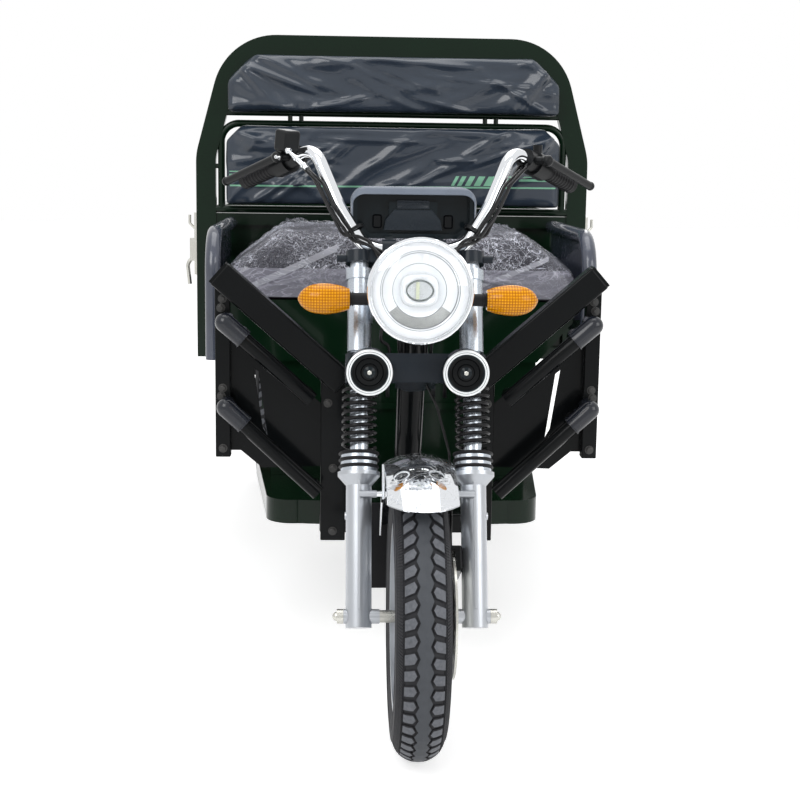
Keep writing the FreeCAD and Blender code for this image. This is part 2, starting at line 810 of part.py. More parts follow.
def hand_control(side):
    """A switch pod and lever perch clamped on the bar, with the lever; the brake side carries a reservoir."""
    end, way = grip_line(side)
    near = grip_length + seat_gap
    pod = along(end, way, near, near + pod_length, pod_radius)
    perch = along(end, way, near + pod_length, near + pod_length + perch_length, perch_radius)
    forward = way.cross(V(0, 0, 1)).normalize() * (1 if side < 0 else -1)
    if forward.y > 0:
        forward = forward * -1
    middle = end + way * (near + pod_length + perch_length / 2)
    knuckle = middle + forward * lever_forward
    arm = Part.makeCylinder(lever_depth / 2, lever_forward, middle, forward)
    tip = knuckle - way * lever_length
    lever = Part.makeCylinder(lever_thickness, lever_length, tip, way)
    ball = Part.makeSphere(lever_ball_radius, tip)
    joint = Part.makeSphere(lever_joint_radius, knuckle)
    pieces = [pod, perch, arm, lever, ball, joint]
    if side < 0:
        base = middle + forward * (lever_forward / 2)
        tank = block(-reservoir_width / 2, reservoir_width / 2, -reservoir_depth / 2, reservoir_depth / 2, 0,
                     reservoir_height, reservoir_fillet)
        tank.rotate(V(0, 0, 0), V(0, 1, 0), reservoir_lean_deg)
        tank.rotate(V(0, 0, 0), V(0, 0, 1), math.degrees(math.atan2(way.y, way.x)))
        tank.translate(base + V(0, 0, perch_radius / 2))
        pieces.append(tank)
    boss = end + way * (near + pod_length / 2) + V(0, 0, pod_radius - mirror_boss_height / 4)
    pieces.append(Part.makeCylinder(mirror_boss_radius, mirror_boss_height, boss, V(0, 0, 1)))
    body = fused(pieces)
    mouth = boss + V(0, 0, mirror_boss_height)
    body = body.cut(Part.makeCylinder(mirror_hole_radius, mirror_hole_depth, mouth, V(0, 0, -1)))
    return body.cut(along(end, way, near - overrun, near + pod_length + perch_length + overrun,
                          bar_radius + running_gap))


def hood_case(inset, y, depth):
    """The hood's outline, rounded at its corners and set in from the outside by a wall, as a solid."""
    low = hood_floor() + inset
    high = hood_floor() + hood_height - inset
    half, foot, knee = hood_half_width - inset, hood_half_bottom - inset, hood_floor() + hood_taper_height
    points = [(-foot, low), (foot, low), (half, knee), (half, high), (-half, high), (-half, knee)]
    case = outline(points, "xz", y).extrude(V(0, depth, 0))
    along_y = [e for e in case.Edges if e.BoundBox.YLength > depth / 2]
    top = [e for e in along_y if e.BoundBox.ZMax > high - seat_gap]
    case = case.makeFillet(hood_top_fillet - inset, top)
    low_edges = [e for e in case.Edges
                 if e.BoundBox.YLength > depth / 2 and e.BoundBox.ZMax < knee + seat_gap]
    return case.makeFillet(hood_low_fillet, low_edges)


def hood_floor():
    return bar_route[0][2] + riser_radius + seat_gap


def instrument_hood():
    """An instrument case behind the bar: a deep round-cornered rim, the display's box in it, and two feet."""
    y0 = front_y + hood_back
    shell = hood_case(0, y0, hood_depth).cut(hood_case(hood_wall, y0 - overrun, overrun + hood_recess))
    floor = hood_floor()
    middle = floor + hood_height / 2
    display = block(-display_half_width, display_half_width, y0 + hood_recess - display_reach,
                    y0 + hood_depth / 2,
                    middle - display_height / 2, middle + display_height / 2)
    feet = []
    for s in (1, -1):
        x = s * riser_half_spacing
        feet.append(block(x - hood_foot_width / 2, x + hood_foot_width / 2, front_y + bar_route[0][1],
                          y0 + hood_recess, floor, floor + hood_foot_thickness))
    return fused([shell, display, *feet])


def headlamp():
    """The lamp's bowl with its deep plated rim, and the domed lens in it."""
    face_y = front_y + lamp_back
    centre = V(0, face_y, lamp_height)

    def turned(profile):
        corners = [V(r, face_y + along_y, lamp_height) for along_y, r in profile]
        solid = Part.Face(Part.makePolygon(corners + corners[:1])).revolve(centre, V(0, 1, 0), 360)
        solid.rotate(centre, V(1, 0, 0), -lamp_tilt_deg)
        return solid

    rim, lip, wall = lamp_radius, lamp_rim_lip, lamp_wall
    back = lamp_rim_length + lamp_shell_length
    bowl_radius = rim - 2 * wall
    outer = [(0, rim - lip), (0, rim - wall), (wall, rim), (lamp_rim_length, rim),
             (lamp_rim_length, bowl_radius),
             (lamp_rim_length + lamp_shell_length / 2, lamp_shell_middle_radius),
             (back, lamp_shell_end_radius), (back, 0),
             (back - wall, 0), (back - wall, lamp_shell_end_radius - wall),
             (lamp_rim_length + lamp_shell_length / 2, lamp_shell_middle_radius - wall),
             (lamp_rim_length, bowl_radius - wall), (2 * wall + lamp_lens_thickness, bowl_radius - wall),
             (2 * wall + lamp_lens_thickness, rim - lip)]
    thick = lamp_lens_thickness
    start = 2 * wall + thick
    lens = [(start - thick, 0), (start - thick, rim - lip - seat_gap), (start, rim - lip - seat_gap),
            (start, 0)]
    shell = turned(outer)
    y, reach = front_y + signal_back, lamp_ear_inner() - seat_gap
    bosses = [rod((s * (lamp_shell_end_radius + lamp_shell_end_radius / 2), y, signal_height),
                  (s * reach, y, signal_height), lamp_boss_radius) for s in (1, -1)]
    return fused([shell, *bosses]), turned(lens)


def signal_lens(side):
    """A tear-shaped lamp that narrows to its outer tip."""
    y, z = front_y + signal_back, signal_height
    span = signal_tip - signal_root
    half = signal_half_height
    rim = [V(side * signal_root, y, z + half * signal_root_share),
           V(side * (signal_root + span * signal_bulge_share), y, z + half),
           V(side * (signal_tip - signal_tip_radius / 2), y, z + signal_tip_radius),
           V(side * signal_tip, y, z)]
    curve = Part.BSplineCurve()
    curve.interpolate(rim)
    root = V(side * signal_root, y, z)
    edges = [curve.toShape(), Part.makeLine(rim[-1], root), Part.makeLine(root, rim[0])]
    return Part.Face(Part.Wire(edges)).revolve(root, V(1, 0, 0), 360)


def signal_stalk(side):
    """The ribbed rubber stalk between the fork cover and the lamp."""
    y, z = front_y + signal_back, signal_height
    root = signal_root - seat_gap
    start = lamp_ear_inner() + lamp_ear_thickness + seat_gap
    pieces = [rod((side * start, y, z), (side * root, y, z), signal_stalk_radius)]
    for i in range(signal_ring_count):
        x = root - (2 * i + 1) * signal_ring_width
        pieces.append(rod((side * x, y, z), (side * (x + signal_ring_width), y, z), signal_ring_radius))
    return fused(pieces)


def horn(side):
    """A disc horn: a plated rim round a dished grille with a centre nut, on a short stem."""
    rake = math.radians(rake_deg)
    x, z = side * horn_half_spacing, fork_place(0, lower_bridge_height)[2] + horn_rise
    arm = fork_tube_radius + bridge_wall
    seat = fork_place(0, (z - tyre_radius - arm * math.sin(rake)) / math.cos(rake), arm)[1] + horn_stem_seat
    y = seat - horn_stem_length
    face = y - horn_length
    body = rod((x, face, z), (x, y, z), horn_radius)
    dish = rod((x, face - overrun, z), (x, face + horn_dish_depth, z), horn_dish_radius)
    cone = Part.makeCone(horn_cone_radius, horn_nut_radius, horn_cone_height, V(x, face + horn_dish_depth, z),
                         V(0, -1, 0))
    nut = rod((x, face + horn_dish_depth, z), (x, face, z), horn_nut_radius)
    stem = rod((x, y, z), (x, y + horn_stem_length, z), horn_stem_radius)
    return fused([body.cut(dish), cone, nut, stem])


def fender_shell():
    """A crowned fender over the wheel, with rolled sides."""
    inner = fender_radius - fender_crown
    half, skirt, sheet = fender_half_width, fender_skirt, fender_sheet

    def arch(grow):
        edge = V(half + grow, 0, inner + grow)
        crown = Part.Arc(V(-half - grow, 0, inner + grow), V(0, 0, fender_radius + grow), edge).toShape()
        low = inner - skirt
        return [Part.makeLine(V(-half - grow, 0, low), V(-half - grow, 0, inner + grow)), crown,
                Part.makeLine(edge, V(half + grow, 0, low))]

    outer, under = arch(sheet), arch(0)
    low = inner - skirt
    ends = [Part.makeLine(V(half + sheet, 0, low), V(half, 0, low)),
            Part.makeLine(V(-half - sheet, 0, low), V(-half, 0, low))]
    face = Part.Face(Part.Wire(Part.__sortEdges__([*outer, *under, *ends])))
    sweep = fender_rear_deg - fender_front_deg
    shell = face.revolve(V(0, 0, 0), V(1, 0, 0), -sweep)
    shell.rotate(V(0, 0, 0), V(1, 0, 0), 90 - fender_front_deg)
    shell.translate(V(0, front_y, tyre_radius))
    return shell.cut(fender_edge_cutter())


def fender_edge_cutter():
    """What is trimmed off the fender's front end, so that its lower edge is lowest in the middle."""
    angle = math.radians(fender_front_deg)
    tip = V(0, front_y - fender_radius * math.cos(angle), tyre_radius + fender_radius * math.sin(angle))
    width = fender_half_width + fender_sheet
    bend = (width ** 2 + fender_edge_sag ** 2) / (2 * fender_edge_sag)
    way = V(0, 1, -fender_edge_fall).normalize()
    back = front_y - fender_edge_end
    reach = fender_radius / 2
    lower = block(-2 * width, 2 * width, tip.y - reach, back, tip.z - reach,
                  tip.z + fender_edge_sag + overrun)
    start = tip - way * reach + V(0, 0, bend)
    return lower.cut(Part.makeCylinder(bend, 2 * reach + overrun, start, way))


def build_fender():
    """The fender with a tab on each side that reaches down to the leg's pad."""
    pieces = [fender_shell()]
    outer = fender_half_width + fender_sheet
    for side in (1, -1):
        x0, x1 = sorted((side * (outer - fender_sheet / 2), side * (outer + fender_tab_thickness)))
        front = leg_pad_front()
        tab = block(x0, x1, front - fender_tab_width / 2, fender_tab_width / 2,
                    leg_pad_height - fender_tab_width / 2,
                    fender_radius - fender_crown - fender_sheet)
        end = leg_half_spacing - leg_radius - leg_pad_reach - seat_gap
        stub = rod((side * outer, front, leg_pad_height), (side * end, front, leg_pad_height),
                   fender_stay_radius)
        pieces += [tilted(tab), tilted(stub)]
    return fused(pieces)


def front_mud_flap():
    """A rubber flap that hangs behind the wheel from the fender's rear end."""
    angle = math.radians(fender_rear_deg)
    outer = fender_radius + fender_sheet
    y = front_y - outer * math.cos(angle) + seat_gap
    end_z = tyre_radius + outer * math.sin(angle)
    return block(-flap_half_width, flap_half_width, y, y + flap_thickness, flap_bottom, end_z + flap_lap)


def front_axle():
    """The through axle with its spacers, nuts and domed caps."""
    reach = leg_half_spacing + leg_radius + axle_boss_length / 4
    y, z = front_y, tyre_radius
    pieces = [rod((-reach - axle_nut_length, y, z), (reach + axle_nut_length, y, z), axle_radius)]
    boss = leg_half_spacing - leg_radius - axle_boss_length - seat_gap
    disc_side = brake_disc_offset + brake_disc_thickness + seat_gap
    pieces.append(rod((disc_side, y, z), (boss, y, z), axle_spacer_radius))
    pieces.append(rod((-boss, y, z), (-front_hub_half_length - seat_gap, y, z), axle_spacer_radius))
    for s in (1, -1):
        pieces.append(rod((s * (reach + seat_gap), y, z), (s * (reach + axle_nut_length), y, z),
                          axle_nut_radius))
        pieces.append(Part.makeSphere(axle_cap_radius, V(s * (reach + axle_nut_length), y, z)))
    return fused(pieces)


def brake_caliper():
    """The caliper, a block astride the disc, with a bracket to the leg."""
    x = brake_disc_offset + brake_disc_thickness / 2
    angle = math.radians(caliper_angle_deg)
    radius = brake_disc_radius - caliper_inset
    y, z = front_y - radius * math.cos(angle), tyre_radius + radius * math.sin(angle)
    half = leg_half_spacing - leg_radius - seat_gap - x
    body = block(x - half, x + half, -caliper_length / 2, caliper_length / 2, -caliper_height / 2,
                 caliper_height / 2,
                 tube_fillet)
    slot = block(x - brake_disc_thickness, x + brake_disc_thickness, -caliper_length, caliper_length,
                 -caliper_height, caliper_height / 3)
    return body, slot, y, z


def caliper_body():
    body, slot, y, z = brake_caliper()
    shaped = body.cut(slot)
    shaped.rotate(V(0, 0, 0), V(1, 0, 0), -(caliper_angle_deg - 90))
    shaped.translate(V(0, y, z))
    return shaped


def placed(route):
    return [(x, front_y + y, z) for x, y, z in route]


def control_cables():
    cables = [bent_rod(placed(route), cable_bend_radius, cable_radius) for route in cable_routes]
    cables += [mirrored(cable) for cable in cables]
    cables.append(bent_rod(placed(lamp_wire_route), cable_bend_radius, cable_radius))
    cables.append(bent_rod(placed(brake_hose_route), cable_bend_radius, brake_hose_radius))
    return Part.makeCompound(cables)


def head_tube_ends():
    low = lower_bridge_height + lower_bridge_depth / 2 + bearing_gap
    high = top_bridge_height - bearing_gap
    return low, high


def main_frame():
    """Head tube, down tube, the two low rails under the footboard, their risers and the front beam."""
    low, high = head_tube_ends()
    head = tilted(rod((0, steer_offset, low), (0, steer_offset, high), head_tube_radius))
    bore = tilted(rod((0, steer_offset, low - overrun), (0, steer_offset, high + overrun), head_bore_radius))
    start = V(*fork_place(0, (low + high) / 2, -steer_offset))
    beam_y = front_y + front_beam_back
    half = front_beam_half_width
    top, bottom = main_rail_top, main_rail_top - main_rail_height
    foot = (0, beam_y + front_beam_depth / 2, (top + bottom) / 2)
    down = rod(tuple(start), foot, down_tube_radius)
    down = down.cut(block(-half, half, beam_y - half, beam_y + half, bottom - half, (top + bottom) / 2))
    beam = block(-half, half, beam_y, beam_y + front_beam_depth, bottom, top, tube_fillet)
    rails = []
    for s in (1, -1):
        x = s * main_rail_half_spacing
        x0, x1 = x - main_rail_width / 2, x + main_rail_width / 2
        end = front_y + riser_back + riser_depth
        rails.append(block(x0, x1, beam_y, end, bottom, top))
        rails.append(block(x0, x1, front_y + riser_back, end, bottom, bed_bottom - chassis_rail_height))
    return fused([head, down, beam, *rails]).cut(bore)


def rear_frame():
    """Two long rails with cross members between them and the leaf-spring hangers welded under them."""
    top = bed_bottom
    bottom = top - chassis_rail_height
    y0, y1 = front_y + riser_back, box_end_y - chassis_rail_rear_inset
    both = []
    for s in (1, -1):
        x = s * chassis_rail_half_spacing
        rail = block(x - chassis_rail_width / 2, x + chassis_rail_width / 2, y0, y1, bottom, top, tube_fillet)
        plates = []
        for end in (-1, 1):
            y = rear_y + end * leaf_half_length
            for edge in (-1, 1):
                near = x + edge * (leaf_width / 2 + hanger_gap)
                far = near + edge * hanger_thickness
                low = leaf_eye_height() - leaf_eye_radius
                plates.append(block(min(near, far), max(near, far), y - hanger_depth / 2,
                                    y + hanger_depth / 2, low,
                                    bottom + hanger_thickness))
            outer = leaf_width / 2 + hanger_gap + hanger_thickness
            plates.append(block(x - outer, x + outer, y - hanger_depth / 2, y + hanger_depth / 2,
                                bottom - hanger_thickness, bottom + hanger_thickness))
        both += [rail, *plates]
    half = chassis_rail_half_spacing
    for y in [y0, *(box_y + share * box_length for share in beam_shares)]:
        both.append(block(-half, half, y, y + beam_width, bottom, top))
    return fused(both)


def footboard_face(front, half_front, half_rear, grow, z):
    """The footboard's plan: a bowed front edge with round corners, widening to the rear."""
    end = front_y + footboard_end - grow
    nose = front_y + front + grow
    corner = nose + footboard_bow
    a, b = half_front - grow, half_rear - grow
    bow = Part.Arc(V(-a + footboard_corner, nose + footboard_corner_drop, z), V(0, nose, z),
                   V(a - footboard_corner, nose + footboard_corner_drop, z)).toShape()
    edges = [bow]
    for s in (1, -1):
        start = V(s * (a - footboard_corner), nose + footboard_corner_drop, z)
        finish = V(s * a, corner, z)
        middle = V(s * (a - footboard_shoulder_inset), nose + footboard_shoulder_drop, z)
        edges.append(Part.Arc(start, middle, finish).toShape())
        edges.append(Part.makeLine(finish, V(s * b, end, z)))
    edges.append(Part.makeLine(V(-b, end, z), V(b, end, z)))
    return Part.Face(Part.Wire(Part.__sortEdges__(edges)))


def footboard():
    """A pressed floor with a bowed front, a turned-down skirt and tread ribs."""
    top = main_rail_top + footboard_sheet + seat_gap
    low = top - footboard_skirt
    outer = footboard_face(footboard_back, footboard_half_front, footboard_half_rear, 0, low)
    inner = footboard_face(footboard_back, footboard_half_front, footboard_half_rear, footboard_sheet,
                           low - overrun)
    body = outer.extrude(V(0, 0, footboard_skirt))
    body = body.cut(inner.extrude(V(0, 0, overrun + footboard_skirt - footboard_sheet)))
    cuts = []
    for s in (1, -1):
        x, gap = s * main_rail_half_spacing, main_rail_width / 2 + footboard_slot_gap
        cuts.append(block(x - gap, x + gap, front_y, front_y + footboard_end + overrun, low - overrun,
                          main_rail_top + seat_gap))
    return body.cut(Part.makeCompound(cuts))


def brake_pedal():
    """The foot brake: a rod through the floor with a wide pad."""
    floor = main_rail_top + footboard_sheet + 2 * seat_gap
    y = front_y + pedal_back
    x = pedal_across
    post = rod((x, y + pedal_pad_depth / 2, floor), (x, y, floor + pedal_height), pedal_rod_radius)
    pad = block(x - pedal_half_width, x + pedal_half_width, y - pedal_pad_depth / 2, y + pedal_pad_depth / 2,
                floor + pedal_height - pedal_pad_thickness, floor + pedal_height, pedal_pad_thickness / 4)
    base = block(x - pedal_half_width / 2, x + pedal_half_width / 2, y, y + pedal_pad_depth, floor,
                 floor + pedal_pad_thickness)
    return fused([post.common(block(x - pedal_half_width, x + pedal_half_width, y - pedal_pad_depth,
                                    y + 2 * pedal_pad_depth, floor, floor + pedal_height)), pad, base])


def guard_half():
    """Two flat posts for +X, a bar that slopes down inwards over them and a slit sheet between."""
    y0 = front_y + guard_back
    pieces = []
    for across, width, low, high in ((outer_post_across, outer_post_width, outer_post_bottom, outer_post_top),
                                     (inner_post_across, post_width, inner_post_bottom, inner_post_top)):
        pieces.append(block(across - width, across, y0, y0 + post_depth - seat_gap, low, high,
                            tube_fillet / 2))
    sheet_y = y0 + post_depth - seat_gap - tube_fillet
    sheet = outline(guard_sheet_line, "xz", sheet_y).extrude(V(0, guard_sheet, 0))
    slit = outline(guard_slit_line, "xz", sheet_y - overrun).extrude(V(0, 2 * overrun, 0))
    pieces.append(sheet.cut(slit))
    (x0, z0), (x1, z1) = top_bar_outer, top_bar_inner
    run = V(x1 - x0, 0, z1 - z0)
    half, cap = top_bar_width / 2, top_bar_cap
    bar = block(0, run.Length, y0 - top_bar_depth, y0 + tube_fillet, -half, half, tube_fillet)
    end = block(-cap, tube_fillet, y0 - top_bar_depth + cap / 2, y0 + tube_fillet - cap / 2,
                -half + cap / 2, half - cap / 2)
    bar = fused([bar, end])
    bar.rotate(V(0, 0, 0), V(0, 1, 0), -math.degrees(math.atan2(run.z, run.x)))
    bar.translate(V(x0, 0, z0))
    return fused([*pieces, bar])


def leg_guard():
    half = guard_half()
    return Part.makeCompound([half, mirrored(half)])


def guard_tube(ends):
    """A round bar in front of the posts, whose elbow turns back onto the outer post."""
    (x0, z0), (x1, z1) = ends
    post_face = front_y + guard_back - seat_gap
    y = post_face - guard_tube_gap
    run = V(x1 - x0, 0, z1 - z0).normalize()
    root = V(outer_post_across - outer_post_width / 2, post_face, z0)
    start = V(x0, y, z0)
    elbow_end = start + run * guard_elbow_length
    finish = V(x1, y, z1)
    tube = rod(tuple(start), tuple(finish), guard_tube_radius)
    sleeve = rod(tuple(start), tuple(elbow_end), guard_elbow_radius)
    ball = Part.makeSphere(guard_elbow_radius, start)
    leg = rod(tuple(start), tuple(root), guard_leg_radius)
    foot = V(x1 - post_width / 4, post_face, z1)
    lug = rod((x1 + guard_tube_radius, y, z1 + guard_tube_radius), tuple(foot), guard_lug_radius)
    body = fused([tube, sleeve, ball, leg, lug])
    behind = block(-outer_post_across, 2 * outer_post_across, post_face, post_face + outer_post_across, 0,
                   2 * outer_post_top)
    return body.cut(behind)


def build_guard_tubes():
    bars = []
    for ends in guard_tubes:
        bar = guard_tube(ends)
        bars += [bar, mirrored(bar)]
    return Part.makeCompound(bars)


def seat_base():
    """The battery box with its ledge and louvres, and the flared pan that carries the cushion."""
    y0 = front_y + seat_box_back
    y1 = y0 + seat_box_depth
    floor = main_rail_top + footboard_sheet + 2 * seat_gap
    sheet = seat_sheet
    low, high = seat_box_half_low, seat_box_half_high
    ledge = seat_ledge_height
    bodies = [block(-low, low, y0, y1, floor, ledge + sheet), block(-high, high, y0, y1, ledge, seat_box_top),
              block(-high, high, y0 - seat_ledge_reach, y0 + sheet, ledge, ledge + seat_ledge_thickness)]
    pan = [(-high, seat_box_top - sheet), (high, seat_box_top - sheet),
           (seat_pan_half_width, seat_pan_shoulder),
           (seat_pan_half_width, seat_pan_top), (-seat_pan_half_width, seat_pan_top),
           (-seat_pan_half_width, seat_pan_shoulder)]
    pan_y = front_y + seat_pan_back
    pan_length = box_y - seat_pan_end_gap - pan_y
    bodies.append(outline(pan, "xz", pan_y).extrude(V(0, pan_length, 0)))
    body = fused(bodies)
    inside = [block(-low + sheet, low - sheet, y0 + sheet, y1 - sheet, floor + sheet, ledge + 2 * sheet),
              block(-high + sheet, high - sheet, y0 + sheet, y1 - sheet, ledge + sheet, seat_box_top + sheet)]
    hollow = [(-high + sheet, seat_box_top), (high - sheet, seat_box_top),
              (seat_pan_half_width - sheet, seat_pan_shoulder),
              (seat_pan_half_width - sheet, seat_pan_top + overrun),
              (-seat_pan_half_width + sheet, seat_pan_top + overrun),
              (-seat_pan_half_width + sheet, seat_pan_shoulder)]
    inside.append(outline(hollow, "xz", pan_y + sheet).extrude(V(0, pan_length - 2 * sheet, 0)))
    for i in range(louvre_count):
        x = (i - (louvre_count - 1) / 2) * louvre_pitch
        inside.append(block(x - louvre_width / 2, x + louvre_width / 2, y0 - overrun, y0 + overrun,
                            louvre_low,
                            louvre_high))
    return body.cut(Part.makeCompound(inside))


def battery_pack():
    y0 = front_y + seat_box_back + (seat_box_depth - battery_depth) / 2
    floor = main_rail_top + footboard_sheet + seat_sheet + 3 * seat_gap
    return block(-battery_half_width, battery_half_width, y0, y0 + battery_depth, floor,
                 floor + battery_height)


def seat_cushion():
    """A thick bench cushion whose ends slope down from a flat middle."""
    low = seat_pan_top + seat_gap
    half, slope = cushion_half_width, cushion_slope
    points = [(-half, low), (half, low), (half, low + cushion_side_height), (half - slope, cushion_top),
              (-half + slope, cushion_top), (-half, low + cushion_side_height)]
    y0, y1 = front_y + cushion_back, box_y - cushion_end_gap
    body = outline(points, "xz", y0).extrude(V(0, y1 - y0, 0))
    upper = [e for e in body.Edges if e.BoundBox.ZMin > low + seat_gap]
    return body.makeFillet(cushion_fillet, upper)


def armrest(side):
    """A bent tube that rises beside the seat and runs back to the hoop, with a sheet panel inside."""
    x = side * (armrest_across - armrest_tube_radius)
    y0, y1 = front_y + armrest_back, box_y - front_wall_depth - 2 * seat_gap
    low, high = armrest_bottom, armrest_top - armrest_tube_radius
    tube = bent_rod([(x, y0, low), (x, y0, high), (x, y1, high)], armrest_bend_radius, armrest_tube_radius)
    inset = armrest_panel_inset
    plate_x = x - armrest_plate / 2
    panel = outline([(y0, low + armrest_foot), (y0, high - armrest_bend_radius), (y0 + inset, high - inset),
                     (y0 + armrest_bend_radius, high), (y1, high), (y1, low + armrest_foot)], "yz", plate_x)
    pieces = [tube, panel.extrude(V(armrest_plate, 0, 0))]
    x0, x1 = sorted((side * (seat_pan_half_width + seat_gap), x))
    for share in armrest_lug_shares:
        y = y0 + share * (y1 - y0)
        pieces.append(block(x0, x1, y, y + armrest_lug_width, seat_pan_shoulder, seat_pan_top - seat_gap))
    return fused(pieces)


def hoop_line():
    """The hoop's centreline: up one side, leaning in from the shoulder, over the top and down."""
    x, top = box_half_width - hoop_width / 2, hoop_top - hoop_width / 2
    lean = math.tan(math.radians(hoop_lean_deg)) * (hoop_shoulder_drop - hoop_width / 2)
    half = [(x, bed_bottom), (x, hoop_top - hoop_shoulder_drop), (x - lean, top)]
    return [(-u, w) for u, w in half] + [(u, w) for u, w in reversed(half)]


def backrest_hoop():
    """A flat-oval tube hoop over the box front, and the inner frame that carries the lower pad."""
    y = box_y - hoop_depth / 2
    points = [(u, y, w) for u, w in hoop_line()]
    path = bent_path(points, hoop_corner_radius)
    start = V(*points[0])
    w, d = hoop_width / 2, hoop_depth / 2
    ring = Part.makePolygon([start + V(-w, -d, 0), start + V(w, -d, 0), start + V(w, d, 0),
                             start + V(-w, d, 0),
                             start + V(-w, -d, 0)])
    hoop = path.makePipeShell([ring], True, False)
    y = box_y - hoop_depth + frame_tube_radius
    half, top, bottom = frame_half_width, frame_top - frame_tube_radius, frame_bottom
    frame = bent_rod([(-half, y, bottom), (-half, y, top), (half, y, top), (half, y, bottom)],
                     frame_corner_radius,
                     frame_tube_radius)
    foot = rod((-half - hoop_width / 2, y, bottom), (half + hoop_width / 2, y, bottom), frame_tube_radius)
    rest = rod((-upper_pad_half_width - hoop_width / 2, y, upper_pad_bottom),
               (upper_pad_half_width + hoop_width / 2, y, upper_pad_bottom), pad_bar_radius)
    pieces = [hoop, frame, foot, rest]
    for across in stay_across:
        for s in (1, -1):
            pieces.append(rod((s * across, y, top), (s * across, y, upper_pad_bottom), stay_radius))
    for s in (1, -1):
        middle = (top + bottom) / 2
        pieces.append(rod((s * half, y, middle), (s * (box_half_width - hoop_width / 2), y, middle),
                          stay_radius))
    return fused(pieces)


def pad(half, low, high, corner):
    """A flat pad with cut corners at the top."""
    points = [(-half, low), (half, low), (half, high - corner), (half - corner, high), (-half + corner, high),
              (-half, high - corner)]
    y1 = box_y - hoop_depth - seat_gap
    body = outline(points, "xz", y1 - pad_depth).extrude(V(0, pad_depth, 0))
    front = [e for e in body.Edges if e.BoundBox.YMax < y1 - pad_depth / 2]
    return body.makeFillet(pad_fillet, front)


def backrest_pads():
    """The upper and lower pads, in front of the hoop and its inner frame."""
    return Part.makeCompound([pad(lower_pad_half_width, lower_pad_bottom, lower_pad_top, lower_pad_corner),
                              pad(upper_pad_half_width, upper_pad_bottom, upper_pad_top, upper_pad_corner)])


def hinge_places(start, end):
    """The middles of a gate's three hinges along its length."""
    return [start + hinge_inset, (start + end) / 2, end - hinge_inset]


def cargo_bed():
    """The floor, its edge frame and rear corner posts, and the fixed ears of the gate hinges."""
    w = box_half_width
    low, high = bed_bottom, floor_height - bed_rib_height - bed_sheet
    t = bed_frame_width
    y0, y1 = box_y, box_end_y
    pieces = [block(-w, w, y0, y0 + t, low, high), block(-w, w, y1 - t, y1, low, high),
              block(-w, -w + t, y0, y1, low, high), block(w - t, w, y0, y1, low, high),
              block(-w, w, y0, y1, high, bed_top)]
    pitch = 2 * (w - t) / bed_rib_count
    for i in range(bed_rib_count):
        x = -w + t + (i + 0.5) * pitch
        pieces.append(block(x - bed_rib_width / 2, x + bed_rib_width / 2, y0 + t, y1 - t, bed_top,
                            floor_height))
    for s in (1, -1):
        x0, x1 = sorted((s * w, s * (w - corner_post_width)))
        pieces.append(block(x0, x1, y1 - corner_post_depth, y1, low, wall_top))
    axis = w + hinge_radius
    z = floor_height
    gap = hinge_length / 2 + hinge_side_gap
    for s in (1, -1):
        for y in hinge_places(y0 + move_gap, y1 - corner_post_depth - move_gap):
            for e in (1, -1):
                a, b = sorted((y + e * gap, y + e * (gap + hinge_ear)))
                pieces.append(rod((s * axis, a, z), (s * axis, b, z), hinge_radius))
                x0, x1 = sorted((s * (w - hinge_leaf), s * (w + hinge_leaf)))
                pieces.append(block(x0, x1, a, b, z - hinge_leaf - 3 * hinge_radius, z))
    axis_y = y1 + move_gap + gate_depth + hinge_radius
    for x in hinge_places(-w + seat_gap, w - seat_gap):
        for e in (1, -1):
            a, b = sorted((x + e * gap, x + e * (gap + hinge_ear)))
            pieces.append(rod((a, axis_y, z), (b, axis_y, z), hinge_radius))
            pieces.append(block(a, b, y1 - hinge_leaf, axis_y, z - 2 * hinge_radius, z - hinge_radius / 2))
    return fused(pieces)


def gate_panel(start, end):
    """A drop side drawn along +Y, outer face on X = 0: sheet, rails, pressed ribs and hinge knuckles."""
    low, high = floor_height + move_gap, wall_top
    depth, sheet, rail = gate_depth, gate_sheet, gate_rail
    inner = -depth
    pieces = [block(inner, inner + sheet, start, end, low, high),
              block(inner, 0, start, end, high - rail, high),
              block(inner, 0, start, end, low, low + rail)]
    for y0, y1 in ((start, start + rail), (end - rail, end)):
        pieces.append(block(inner, 0, y0, y1, low, high))
    pitch = (end - start - 2 * rail) / gate_rib_count
    for i in range(gate_rib_count):
        y = start + rail + (i + 0.5) * pitch
        half, slope = gate_rib_width / 2, gate_rib_edge
        rib = outline([(inner, y - half - slope), (inner, y + half + slope), (-sheet, y + half),
                       (-sheet, y - half)],
                      "xy", low + rail / 2)
        pieces.append(rib.extrude(V(0, 0, high - low - rail)))
    for y in hinge_places(start, end):
        half = hinge_length / 2
        pieces.append(rod((hinge_radius, y - half, floor_height), (hinge_radius, y + half, floor_height),
                          hinge_radius))
        pieces.append(block(-sheet, hinge_leaf, y - half, y + half, floor_height, low + rail))
    return fused(pieces)


def gates():
    """Left and right drop sides and the tailgate."""
    side = gate_panel(box_y + move_gap, box_end_y - corner_post_depth - move_gap)
    side.translate(V(box_half_width, 0, 0))
    w = box_half_width - seat_gap
    tail = gate_panel(-w, w)
    tail.rotate(V(0, 0, 0), V(0, 0, 1), 90)
    tail.translate(V(0, box_end_y + move_gap + gate_depth, 0))
    return side, mirrored(side), tail


